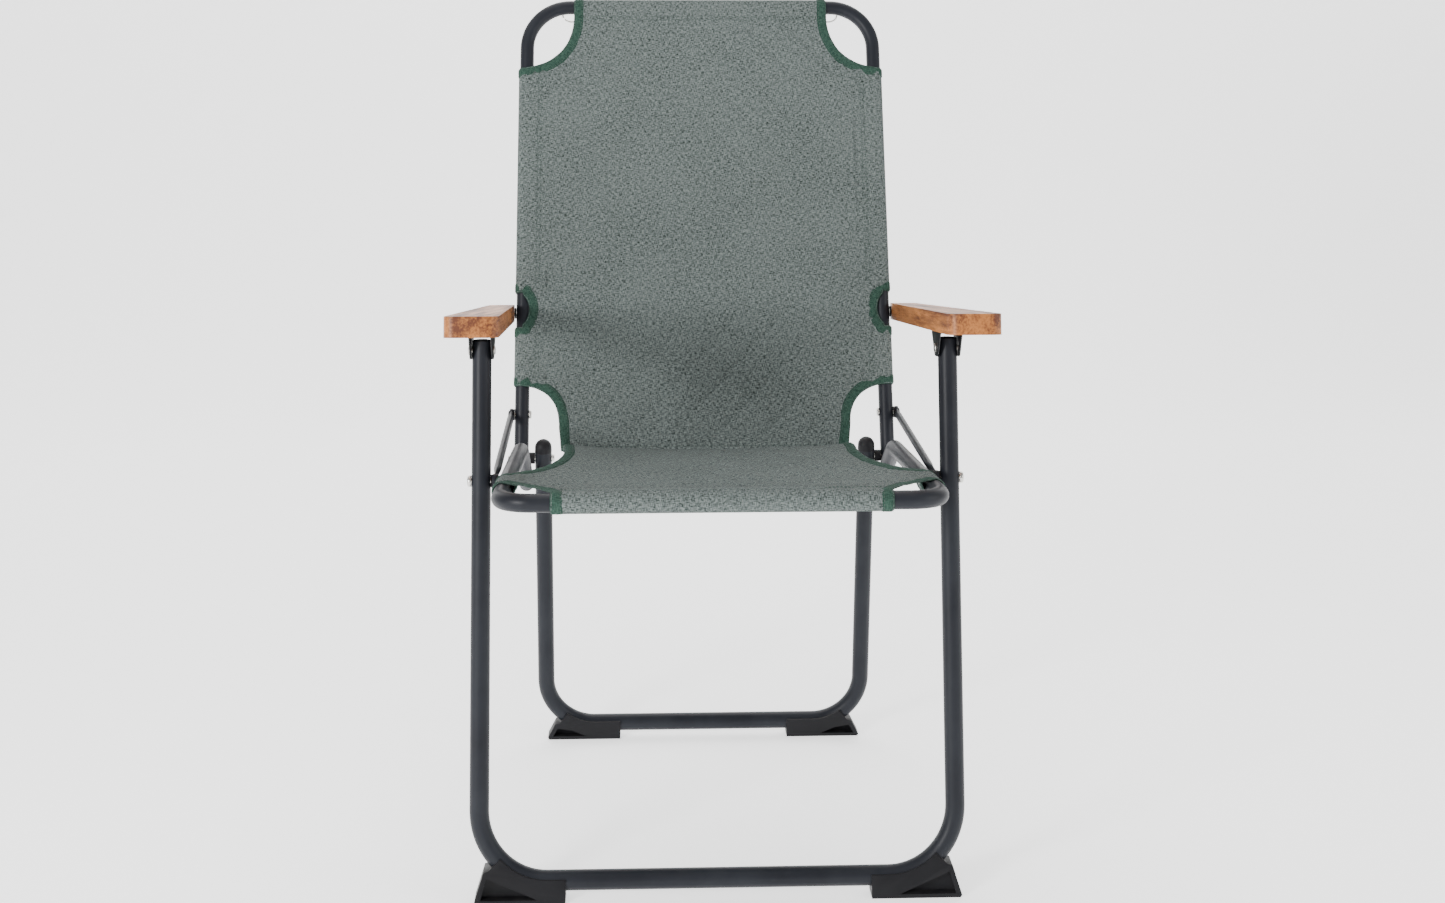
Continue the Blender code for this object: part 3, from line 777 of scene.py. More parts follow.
@dataclass
class SideView:
    """The straight lines that the frames follow in the side view."""

    front_foot_y: float = -0.240
    rear_foot_y: float = 0.227
    foot_tube_z: float = 0.020
    back_pivot: Pair = (0.162, 0.402)
    seat_pivot_z: float = 0.456

    def front_leg(self, z: float) -> float:
        """Return the Y of the front legs at height z."""
        return self.front_foot_y + (z - self.foot_tube_z) * math.tan(FRONT_LEAN)

    def back(self, z: float) -> float:
        """Return the Y of the back posts at height z."""
        return self.back_pivot[0] + (z - self.back_pivot[1]) * math.tan(RECLINE)

    def rear_leg(self, z: float) -> float:
        """Return the Y of the rear legs at height z."""
        y, top = self.back_pivot
        return y + (top - z) / (top - self.foot_tube_z) * (self.rear_foot_y - y)

    def rail(self, y: float) -> float:
        """Return the height of the seat rails' front stretch at y."""
        return self.seat_pivot_z + (self.front_leg(self.seat_pivot_z) - y) * math.tan(SEAT_DROP)


# ---------------------------------------------------------------- frames


@dataclass
class TubeFrames:
    """The four bent tube frames."""

    finishes: Finishes
    view: SideView
    seat_rear: Vector
    leg_radius: float = 0.011
    back_radius: float = 0.0095
    seat_radius: float = 0.010
    front_x: float = 0.2675
    rear_x: float = 0.2144
    back_x: float = 0.2435
    seat_x: float = 0.2375

    def hoop(
        self, half_width: float, line: Callable[[float], float], foot: float, top: float, bend: float
    ) -> list[Vector]:
        """Return a U-shaped path.

        Args:
            half_width: Half the hoop's width.
            line: Y as a function of height.
            foot: Height of the hoop's crossbar.
            top: Height of its free ends.
            bend: Its corner radius.

        Returns:
            The path's points.
        """
        corners = [(-half_width, line(top), top), (-half_width, line(foot), foot)]
        corners += [(x * -1, y, z) for x, y, z in reversed(corners)]
        return bent_path(corners, [bend, bend])

    def build(self) -> None:
        """Build the frames in place of their CAD nodes."""
        view = self.view
        look = self.finishes.tube
        front = self.hoop(self.front_x, view.front_leg, view.foot_tube_z, 0.6119, 0.077)
        rear = self.hoop(self.rear_x, view.rear_leg, view.foot_tube_z, 0.4109, 0.066)
        back = self.hoop(self.back_x, view.back, 1.0, 0.3951, 0.060)
        front_y = -0.325
        knee = Vector((0.0, 0.060, view.rail(0.060)))
        end = self.seat_rear + (self.seat_rear - knee).normalized() * 0.0075
        side = ((end.y, end.z), (knee.y, knee.z), (front_y, view.rail(front_y)))
        half = [(self.seat_x, y, z) for y, z in side]
        corners = half + [(-x, y, z) for x, y, z in reversed(half)]
        seat = bent_path(corners, [0.05, 0.036, 0.036, 0.05], 14)
        for node, body, path, radius in (
            ("front_leg_frame", "front_legs", front, self.leg_radius),
            ("rear_leg_frame", "rear_legs", rear, self.leg_radius),
            ("back_frame", "back", back, self.back_radius),
            ("seat_frame", "seat", seat, self.seat_radius),
        ):
            name = node + "_tube"
            show(name, swept(name, path, radius), look, body, [node], 60.0)


@dataclass
class Links:
    """The flat-ended bars that tie the front legs to the back posts."""

    finishes: Finishes
    front: Vector
    rear: Vector
    front_x: float = 0.2525
    rear_x: float = 0.2575
    bar_radius: float = 0.0045
    eye_radius: float = 0.008
    eye_half: float = 0.002

    def section(self, share: float) -> Pair:
        """Return the bar's half thickness and half height at a share of its length."""
        near = min(share, 1.0 - share)
        reach = 0.17 if share < 0.5 else 0.055
        flat = max(0.0, min(1.0, (reach - near) / (reach * 0.55)))
        flat = flat * flat * (3 - 2 * flat)
        thick = self.bar_radius + (self.eye_half - 0.0001 - self.bar_radius) * flat
        return thick, self.bar_radius + 0.0016 * flat

    def build(self) -> None:
        """Build both links with their eyes."""
        for side in Side:
            name = f"link_bar_{side.word}"
            work = bmesh.new()
            start = self.front + Vector((side.value * self.front_x, 0, 0))
            stop = self.rear + Vector((side.value * self.rear_x, 0, 0))
            ahead = (stop - start).normalized()
            up = ahead.cross(Vector((1, 0, 0))).normalized()
            across = up.cross(ahead)
            rings = []
            count = 60
            for i in range(count + 1):
                share = 0.008 + 0.984 * i / count
                thick, tall = self.section(share)
                centre = start.lerp(stop, share)
                turns = [math.tau * (k + 0.5) / 20 for k in range(20)]
                spots = [centre + across * (thick * math.cos(t)) + up * (tall * math.sin(t)) for t in turns]
                rings.append([work.verts.new(p) for p in spots])
            ring_bands(work, rings)
            for eye in (start, stop):
                half = self.eye_half
                wide = self.eye_radius
                rim = rounded([(-half, 0), (-half, wide), (half, wide), (half, 0)], 0.0007)
                disc = lathe("eye", rim, Matrix.Translation(eye), sides=36)
                work.from_mesh(disc)
                bpy.data.meshes.remove(disc)
            mesh = finish_mesh(work, name)
            show(name, mesh, self.finishes.tube, "links", [f"link_{side.word}"], 45.0)


# ---------------------------------------------------------------- fasteners and caps


@dataclass
class HeadedPin:
    """A pin across the chair with a head at its inner end, its outer end or both."""

    stem: str
    body: str
    inner_head: Pair = (0.0, 0.0)
    outer_head: Pair = (0.0, 0.0)
    shank: float = 0.003
    recess: float = 0.0

    def head(self, radius: float, rise: float) -> list[Pair]:
        """Return a domed head's profile, from its crown to its seat, measured back from the crown."""
        points = [(0.0, 0.0)]
        if self.recess:
            points = [(self.recess, 0.0), (self.recess, radius * 0.42), (0.0002, radius * 0.48)]
        turns = (0.3, 0.8, 1.2, 1.57)
        dome = [(rise * 0.55 * (1 - math.cos(t)), radius * (0.55 + 0.45 * math.sin(t))) for t in turns]
        return points + dome + [(rise * 0.92, radius), (rise, radius * 0.97)]

    def build(self, side: Side, look: bpy.types.Material, slot: Slot = Slot.ZINC) -> None:
        """Build the pin on one side in place of its CAD node.

        Args:
            side: The side of the chair.
            look: The material.
            slot: Not used.
        """
        node = f"{self.stem}_{side.word}"
        low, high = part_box(node)
        centre = centre_of(node)
        inner, outer = sorted((abs(low[0]), abs(high[0])))
        profile: list[Pair] = [(inner, 0.0), (inner, self.shank)]
        if self.inner_head[0]:
            profile = [(inner + x, radius) for x, radius in self.head(*self.inner_head)]
            profile.append((inner + self.inner_head[1], self.shank))
        ending: list[Pair] = [(outer, 0.0), (outer - 0.0002, self.shank * 0.7), (outer - 0.0008, self.shank)]
        if self.outer_head[0]:
            ending = [(outer - x, radius) for x, radius in self.head(*self.outer_head)]
            ending.append((outer - self.outer_head[1], self.shank))
        profile += ending[::-1]
        turned = [(side.value * x, radius) for x, radius in profile]
        place = Matrix.Translation((0, centre.y, centre.z))
        name = f"{self.stem}_turned_{side.word}"
        show(name, lathe(name, turned, place), look, self.body, [node])


@dataclass
class Fasteners:
    """Every pin, washer, spacer and bracket screw."""

    finishes: Finishes
    pins: tuple[HeadedPin, ...] = (
        HeadedPin("bracket_rivet", "armrests", (0.0052, 0.0018), (0.0055, 0.0020)),
        HeadedPin("armrest_bolt", "armrests", (0.0050, 0.0032)),
        HeadedPin("link_rivet", "back", (0.0055, 0.0030)),
        HeadedPin("front_pivot_bolt", "front_legs", (0.0, 0.0), (0.0065, 0.0045), recess=0.0016),
        HeadedPin("seat_pivot_nut", "seat", (0.0056, 0.0062)),
        HeadedPin("rear_leg_bolt", "back", (0.0048, 0.0036)),
        HeadedPin("seat_rear_bolt", "seat", (0.0050, 0.0034), (0.0055, 0.0024)),
    )
    collars: dict[str, str] = field(
        default_factory=lambda: {
            "leg_washer": "front_legs",
            "rail_spacer": "front_legs",
            "link_spacer": "back",
            "armrest_spacer": "armrests",
            "rear_leg_spacer": "back",
            "seat_rear_washer": "seat",
        }
    )
    collar_radius: float = 0.0075
    bore: float = 0.0035

    def build_collar(self, stem: str, body: str, side: Side) -> None:
        """Build one washer or spacer with softened rims.

        Args:
            stem: Its CAD node's name without the side.
            body: The body that it rides on.
            side: The side of the chair.
        """
        node = f"{stem}_{side.word}"
        low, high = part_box(node)
        centre = centre_of(node)
        soft = min(0.0004, (high[0] - low[0]) * 0.3)
        profile = [
            (low[0], self.bore),
            (low[0], self.collar_radius - soft),
            (low[0] + soft, self.collar_radius),
            (high[0] - soft, self.collar_radius),
            (high[0], self.collar_radius - soft),
            (high[0], self.bore),
        ]
        place = Matrix.Translation((0, centre.y, centre.z))
        name = f"{stem}_turned_{side.word}"
        mesh = lathe(name, profile, place, closed=True)
        show(name, mesh, self.finishes.plastic, body, [node])

    def build_link_cap(self, side: Side) -> None:
        """Build the black rivet cap outside a link's rear eye."""
        node = f"link_cap_{side.word}"
        low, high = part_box(node)
        centre = centre_of(node)
        near, far = sorted((abs(low[0]), abs(high[0])))
        profile = [(near, 0.0), (near, 0.0053), (near + 0.0003, 0.0055), (near + 0.0010, 0.0054)]
        profile += [(near + 0.0016, 0.0046), (near + 0.0021, 0.0030), (far, 0.0)]
        turned = [(side.value * x, radius) for x, radius in profile]
        place = Matrix.Translation((0, centre.y, centre.z))
        name = f"link_cap_turned_{side.word}"
        show(name, lathe(name, turned, place), self.finishes.black_steel, "links", [node])

    def screw_tree(self) -> bpy.types.NodeTree:
        """Build the tree that sets a countersunk screw head on each point.

        Returns:
            The Geometry Nodes tree.
        """
        tree = bpy.data.node_groups.new("bracket_screws", "GeometryNodeTree")
        tree.interface.new_socket("Points", in_out="INPUT", socket_type="NodeSocketGeometry")
        for name, value in (("Head Radius", 0.0038), ("Head Rise", 0.0016)):
            socket = tree.interface.new_socket(name, in_out="INPUT", socket_type="NodeSocketFloat")
            socket.default_value = value
        tree.interface.new_socket("Screws", in_out="OUTPUT", socket_type="NodeSocketGeometry")
        graph = Graph(tree)
        given = graph.node("NodeGroupInput")
        out = graph.node("NodeGroupOutput")
        head = graph.node("GeometryNodeMeshCone")
        head.inputs["Vertices"].default_value = 24
        narrow = graph.node("ShaderNodeMath", operation="MULTIPLY")
        narrow.inputs[1].default_value = 0.58
        graph.join(given.outputs["Head Radius"], narrow.inputs[0])
        graph.join(given.outputs["Head Radius"], head.inputs["Radius Bottom"])
        graph.join(narrow.outputs[0], head.inputs["Radius Top"])
        graph.join(given.outputs["Head Rise"], head.inputs["Depth"])
        turn = graph.node("FunctionNodeInputVector")
        turn.vector = (math.pi - ARM_SLOPE, 0.0, 0.0)
        as_rotation = graph.node("FunctionNodeEulerToRotation")
        graph.join(turn.outputs[0], as_rotation.inputs[0])
        place = graph.node("GeometryNodeInstanceOnPoints")
        graph.join(given.outputs["Points"], place.inputs["Points"])
        graph.join(head.outputs["Mesh"], place.inputs["Instance"])
        graph.join(as_rotation.outputs[0], place.inputs["Rotation"])
        real = graph.node("GeometryNodeRealizeInstances")
        graph.join(place.outputs[0], real.inputs[0])
        paint = graph.node("GeometryNodeSetMaterial")
        paint.inputs["Material"].default_value = self.finishes.zinc
        graph.join(real.outputs[0], paint.inputs[0])
        graph.join(paint.outputs[0], out.inputs[0])
        return tree

    def build_screws(self) -> None:
        """Build the four bracket screws as one piece on the armrests' body."""
        nodes = [f"bracket_screw_{end}_{side.word}" for end in ("front", "rear") for side in Side]
        up = Vector((0, math.sin(ARM_SLOPE), math.cos(ARM_SLOPE)))
        points = [centre_of(node) + up * 0.0008 for node in nodes]
        mesh = bpy.data.meshes.new("bracket_screws")
        mesh.from_pydata(points, [], [])
        piece = bpy.data.objects.new("bracket_screws", mesh)
        bpy.context.collection.objects.link(piece)
        modifier = piece.modifiers.new("screws", "NODES")
        modifier.node_group = self.screw_tree()
        applied(piece)
        made = piece.data
        bpy.data.objects.remove(piece)
        show("bracket_screws", made, self.finishes.zinc, "armrests", nodes)

    def build(self) -> None:
        """Build all the fasteners."""
        for side in Side:
            for pin in self.pins:
                pin.build(side, self.finishes.zinc)
            for stem, body in self.collars.items():
                self.build_collar(stem, body, side)
            self.build_link_cap(side)
        self.build_screws()


@dataclass
class EndCaps:
    """The plastic caps in the open tube ends."""

    finishes: Finishes
    view: SideView
    frames: TubeFrames

    def profile(self, radius: float, rise: float) -> list[Pair]:
        """Return a cap's outline: a thin collar, a parting line and a dome."""
        straight = max(rise - radius, 0.0009)
        rim = radius + 0.0002
        points = [(-0.0005, 0.0), (-0.0005, radius * 0.96), (0.0001, rim), (0.0006, rim)]
        for i in range(9):
            turn = math.pi / 2 * i / 8
            points.append((straight + (rise - straight) * math.sin(turn), radius * math.cos(turn) + 0.0001))
        return points[:-1] + [(rise, 0.0)]

    def build(self) -> None:
        """Build the six caps in place of their CAD nodes."""
        view = self.view
        frames = self.frames
        leg, post = frames.leg_radius, frames.back_radius
        front_x, rear_x, back_x = frames.front_x, frames.rear_x, frames.back_x
        kinds = (
            ("front_leg_cap", "front_legs", leg, front_x, 0.6120, view.front_leg, -FRONT_LEAN, 1, 0.003),
            ("rear_leg_cap", "rear_legs", leg, rear_x, 0.4110, view.rear_leg, REAR_LEAN, 1, 0.017),
            ("back_post_cap", "back", post, back_x, 0.3950, view.back, -RECLINE, -1, 0.0022),
        )
        for stem, body, radius, x, z, line, lean, way, rise in kinds:
            for side in Side:
                upright = Matrix.Rotation(-way * math.pi / 2, 4, "Y")
                turn = Matrix.Rotation(lean, 4, "X") @ upright
                place = Matrix.Translation((side.value * x, line(z), z)) @ turn
                name = f"{stem}_moulded_{side.word}"
                mesh = lathe(name, self.profile(radius, rise), place)
                show(name, mesh, self.finishes.plastic, body, [f"{stem}_{side.word}"])


@dataclass
class MouldedFeet:
    """The four plastic feet, with their edges softened."""

    finishes: Finishes
    softening: float = 0.0007

    def build(self) -> None:
        """Build the feet in place of their CAD nodes."""
        for stem, body in (("front_foot", "front_legs"), ("rear_foot", "rear_legs")):
            for side in Side:
                node = f"{stem}_{side.word}"
                name = f"{stem}_moulded_{side.word}"
                mesh = refined_copy(node, name, self.softening, 2)
                show(name, mesh, self.finishes.plastic, body, [node], 40.0)


# ---------------------------------------------------------------- armrests


@dataclass
class Armrests:
    """The wooden armrests with their folded steel brackets."""

    finishes: Finishes
    rear_pivot: Vector
    length: float = 0.5917
    past_pivot: float = 0.020
    thick: float = 0.022
    outer_x: float = 0.2905
    front_inner_x: float = 0.233
    rear_inner_x: float = 0.2565
    edge: float = 0.0065

    def point(self, x: float, along: float, height: float) -> Vector:
        """Return a point of the armrest's own frame in the chair's frame."""
        forward = Vector((0, -math.cos(ARM_SLOPE), math.sin(ARM_SLOPE)))
        upward = Vector((0, math.sin(ARM_SLOPE), math.cos(ARM_SLOPE)))
        return self.rear_pivot + Vector((x, 0, 0)) + forward * along + upward * height

    def build_wood(self, side: Side) -> None:
        """Build one armrest with rounded corners and softened edges.

        Args:
            side: The side of the chair.
        """
        corners = [
            Vector((self.rear_inner_x, -self.past_pivot, 0)),
            Vector((self.outer_x, -self.past_pivot, 0)),
            Vector((self.outer_x, self.length, 0)),
            Vector((self.front_inner_x, self.length, 0)),
        ]
        radii = (0.008, 0.010, 0.012, 0.012)
        outline: list[Vector] = []
        for i, radius in enumerate(radii):
            outline += arc_at(corners[i - 1], corners[i], corners[(i + 1) % 4], radius, 8)
        work = bmesh.new()
        half = self.thick / 2
        rings = [
            [work.verts.new(self.point(side.value * p.x, p.y, level)) for p in outline]
            for level in (-half, half)
        ]
        ring_bands(work, rings)
        edges = [e for e in work.edges if e.calc_face_angle(0.0) > math.radians(60)]
        bmesh.ops.bevel(
            work, geom=edges, offset=self.edge, segments=5, profile=0.5, affect="EDGES", clamp_overlap=True
        )
        name = f"armrest_wood_{side.word}"
        mesh = finish_mesh(work, name)
        show(name, mesh, self.finishes.wood, "armrests", [f"armrest_{side.word}"])

    def build(self) -> None:
        """Build both armrests and their brackets."""
        for side in Side:
            self.build_wood(side)
            node = f"armrest_bracket_{side.word}"
            name = f"armrest_bracket_folded_{side.word}"
            mesh = refined_copy(node, name, 0.0005, 2)
            show(name, mesh, self.finishes.black_steel, "armrests", [node], 40.0)


# ---------------------------------------------------------------- sling


@dataclass
class Notch:
    """A rounded cut-out in one side of a panel, between two sleeves.

    depth is measured in from the outer edge, deepest at `deep`; the edge leaves the deepest
    place towards `mouth` along a quarter of a superellipse of the given power.
    """

    mouth: float
    deep: float
    outer: float
    inner: float
    power: float

    def half_width(self, s: float) -> float:
        """Return the panel's half width at s."""
        share = min(1.0, max(0.0, (self.deep - s) / (self.deep - self.mouth)))
        curve = max(0.0, 1.0 - share**self.power) ** (1.0 / self.power)
        return self.outer - (self.outer - self.inner) * curve


@dataclass
class Panel:
    """One panel of the sling, as a surface over (x, s), with s measured along its middle."""

    name: str
    body: str
    tube_x: float
    tube_radius: float
    length: float
    zones: tuple[Pair, ...]
    wrap_at: float
    wrap_sign: float
    cloth_gap: float = 0.0010
    step: float = 0.0042
    quilt_pitch: float = 0.058
    quilt_depth: float = 0.0027

    def centre(self, s: float) -> tuple[Vector, Vector, Vector]:
        """Return the middle of the row at s, the normal there and the way that s grows."""
        raise NotImplementedError

    def half_width(self, s: float) -> float:
        """Return the half width at s, out to the sleeve's tube where there is a sleeve."""
        raise NotImplementedError

    def sag(self, s: float) -> float:
        """Return how far the middle hangs back at s."""
        raise NotImplementedError

    def keys(self) -> list[float]:
        """Return the places along s that need a row of their own."""
        raise NotImplementedError

    def in_zone(self, s: float) -> int:
        """Return the number of the sleeve zone that holds s, or -1."""
        for i, (low, high) in enumerate(self.zones):
            if low - 1e-6 <= s <= high + 1e-6:
                return i
        return -1

    def relief(self, x: float, s: float, half: float) -> float:
        """Return the quilting creases and soft puckers at a point.

        Args:
            x: Distance from the middle.
            s: Distance along the panel.
            half: The half width there.

        Returns:
            How far the point stands proud.
        """
        inside = min(1.0, max(0.0, (half - abs(x)) / 0.03))
        ends = min(1.0, max(0.0, min(s, self.length - s) / 0.03))
        shelter = inside * ends
        patch = 0.45 + 0.75 * noise.noise(Vector((x * 4.0, s * 4.0, 3.1)))
        crease = 0.0
        for way in (-1, 1):
            phase = ((x * way * 0.95 + s * 0.88) / self.quilt_pitch) % 1.0
            gap = min(phase, 1.0 - phase) * self.quilt_pitch
            crease += math.exp(-((gap / 0.0055) ** 2))
        soft = noise.noise(Vector((x * 22.0, s * 17.0, 7.7))) * 0.0011
        broad = noise.noise(Vector((x * 7.0, s * 6.0, 1.3))) * 0.0022
        pucker = noise.noise(Vector((x * 60.0, s * 60.0, 4.4))) * 0.0006 * (1.0 - inside)
        return shelter * (soft + broad - self.quilt_depth * max(0.15, patch) * crease) + pucker * ends

    def point(self, x: float, s: float, raised: float = 0.0) -> Vector:
        """Return a point of the panel.

        Args:
            x: Distance from the middle.
            s: Distance along the panel.
            raised: Distance out along the normal.

        Returns:
            The point in the chair's frame.
        """
        middle, normal, _ = self.centre(s)
        half = self.half_width(s)
        inner = min(half, self.tube_x - self.tube_radius - 0.003)
        hang = self.sag(s) * max(0.0, 1.0 - (x / inner) ** 2)
        out = self.relief(x, s, inner) - hang + raised
        return middle + Vector((x, 0, 0)) + normal * out

    def normal(self, x: float, s: float) -> Vector:
        """Return the surface normal at a point."""
        small = 0.002
        across = self.point(x + small, s) - self.point(x - small, s)
        low, high = max(0.0, s - small), min(self.length, s + small)
        along = self.point(x, high) - self.point(x, low)
        found = across.cross(along).normalized()
        _, facing, _ = self.centre(s)
        return found if found.dot(facing) > 0 else -found

    def teardrop(self, flap: float = 0.016) -> list[Pair]:
        """Return a sleeve's section as (outwards, proud) pairs round its tube.

        Args:
            flap: How far the hem runs on past the seam.

        Returns:
            The pairs, from the tube's crest round its far side and back to the panel.
        """
        reach = self.tube_radius + self.cloth_gap
        seam = (-(self.tube_radius + 0.0062), self.tube_radius - 0.0004)
        distance = math.hypot(*seam)
        bearing = math.atan2(seam[1], seam[0]) + math.acos(min(1.0, reach / distance)) - math.tau
        sweep = math.pi / 2 - bearing
        pairs = []
        for i in range(17):
            turn = math.pi / 2 - sweep * i / 16
            pairs.append((reach * math.cos(turn), reach * math.sin(turn)))
        last = pairs[-1]
        for t in (0.35, 0.7, 1.0):
            pairs.append((last[0] + (seam[0] - last[0]) * t, last[1] + (seam[1] - last[1]) * t))
        pairs += [(seam[0] - flap * t, seam[1] - 0.0002) for t in (0.5, 1.0)]
        return pairs

    def side_place(self, side: int, s: float, pair: Pair) -> Vector:
        """Return a point of a side sleeve."""
        middle, normal, _ = self.centre(s)
        tube = middle - normal * (self.tube_radius + self.cloth_gap)
        return tube + Vector((side * (self.tube_x + pair[0]), 0, 0)) + normal * pair[1]

    def end_place(self, x: float, pair: Pair) -> Vector:
        """Return a point of the end sleeve round the cross tube."""
        middle, normal, ahead = self.centre(self.wrap_at)
        tube = middle - normal * (self.tube_radius + self.cloth_gap)
        return tube + Vector((x, 0, 0)) + ahead * (self.wrap_sign * pair[0]) + normal * pair[1]

    def rows(self) -> list[float]:
        """Return the places of all rows along s."""
        keys = sorted(self.keys())
        places = [keys[0]]
        for low, high in zip(keys, keys[1:]):
            count = max(1, math.ceil((high - low) / self.step))
            places += [low + (high - low) * (i + 1) / count for i in range(count)]
        return places

    def columns(self) -> list[float]:
        """Return the columns as shares of the half width."""
        count = math.ceil(2 * self.tube_x / self.step)
        return [-1.0 + 2.0 * i / count for i in range(count + 1)]

    def build_cloth(self) -> bpy.types.Mesh:
        """Build the panel with its side sleeves and its end sleeve.

        Returns:
            The cloth's mesh, a single sheet without thickness, with its UV map in metres.
        """
        work = bmesh.new()
        layer = work.loops.layers.uv.new("cloth")
        spots: dict[Any, Pair] = {}

        def spot(place: Vector, across: float, along: float) -> Any:
            """Add a vertex with its place on the flat cloth."""
            made = work.verts.new(place)
            spots[made] = (across, along)
            return made

        def fill(grid: list[list[Any]]) -> None:
            """Add the faces of a grid of vertices."""
            for row, following in zip(grid, grid[1:]):
                for k in range(len(row) - 1):
                    work.faces.new((row[k], row[k + 1], following[k + 1], following[k]))

        rows = self.rows()
        main = []
        for s in rows:
            half = self.half_width(s)
            main.append([spot(self.point(u * half, s), u * half, s) for u in self.columns()])
        fill(main)
        drop = self.teardrop()
        reach = [0.0]
        for first, second in zip(drop, drop[1:]):
            reach.append(reach[-1] + math.dist(first, second))
        for side, edge in ((-1, 0), (1, -1)):
            for number in range(len(self.zones)):
                grid = []
                for i, s in enumerate(rows):
                    if self.in_zone(s) == number:
                        wrapped = [
                            spot(self.side_place(side, s, pair), side * (self.tube_x + far), s)
                            for pair, far in zip(drop[1:], reach[1:])
                        ]
                        grid.append([main[i][edge]] + wrapped)
                fill(grid)
        end_drop = self.teardrop(0.022)
        last = rows.index(self.wrap_at)
        grid = [main[last]]
        far = 0.0
        for first, second in zip(end_drop, end_drop[1:]):
            far += math.dist(first, second)
            line = self.wrap_at + self.wrap_sign * far
            half = self.half_width(self.wrap_at)
            grid.append([spot(self.end_place(u * half, second), u * half, line) for u in self.columns()])
        fill(grid)
        for face in work.faces:
            for loop in face.loops:
                loop[layer].uv = spots[loop.vert]
        bmesh.ops.recalc_face_normals(work, faces=work.faces)
        mesh = bpy.data.meshes.new(self.name)
        work.to_mesh(mesh)
        work.free()
        return mesh


@dataclass
class BackPanel(Panel):
    """The back of the sling, from the crease up to the top tube. s is the height less the crease's."""

    view: SideView = field(default_factory=SideView)
    crease: Pair = (0.160, 0.412)
    base_z: float = 0.4095
    lower: Notch = field(default_factory=lambda: Notch(0.4925, 0.440, 0.2535, 0.193, 2.4))
    upper: Notch = field(default_factory=lambda: Notch(0.9125, 0.985, 0.2535, 0.177, 2.2))
    arm_centre: float = 0.589
    arm_half: float = 0.023

    def height(self, s: float) -> float:
        """Return the height of the posts' line that s stands for."""
        return self.base_z + s * math.cos(RECLINE)

    def place_of(self, z: float) -> float:
        """Return s for a height."""
        return (z - self.base_z) / math.cos(RECLINE)

    def centre(self, s: float) -> tuple[Vector, Vector, Vector]:
        """Return the middle of the row at s, the normal there and the way that s grows."""
        z = self.height(s)
        normal = Vector((0, -math.cos(RECLINE), math.sin(RECLINE)))
        ahead = Vector((0, math.sin(RECLINE), math.cos(RECLINE)))
        low = max(0.0, 1.0 - s / 0.05)
        proud = self.tube_radius + self.cloth_gap - 0.0045 * low * low
        middle = Vector((0, self.view.back(z), z)) + normal * proud
        return middle, normal, ahead

    def half_width(self, s: float) -> float:
        """Return the half width at s, out to the sleeve's tube where there is a sleeve."""
        z = self.height(s)
        if self.in_zone(s) >= 0:
            return self.tube_x
        if z < self.lower.deep:
            return 0.190 + 0.003 * (z - self.base_z) / (self.lower.deep - self.base_z)
        if z < self.lower.mouth:
            return min(self.tube_x, self.lower.half_width(z))
        if abs(z - self.arm_centre) < self.arm_half:
            share = abs(z - self.arm_centre) / self.arm_half
            return min(self.tube_x, 0.2535 - 0.019 * math.sqrt(1.0 - share * share))
        return min(self.tube_x, self.upper.half_width(z))

    def sag(self, s: float) -> float:
        """Return how far the middle hangs back at s."""
        share = s / self.length
        return 0.0118 * math.sin(math.pi * min(1.0, share * 0.97 + 0.08)) ** 0.8

    def keys(self) -> list[float]:
        """Return the places along s that need a row of their own."""
        shares = (0.08, 0.17, 0.27, 0.38, 0.5, 0.65, 0.8, 1.0)
        dense = [self.place_of(0.4925 - 0.0523 * t * t) for t in shares]
        dense += [self.place_of(0.9125 + 0.0723 * t * t) for t in shares]
        for t in (0.55, 0.75, 0.87, 0.95):
            dense += [self.place_of(self.arm_centre + way * self.arm_half * t) for way in (-1, 1)]
        return [0.0, self.length] + [edge for zone in self.zones for edge in zone] + dense


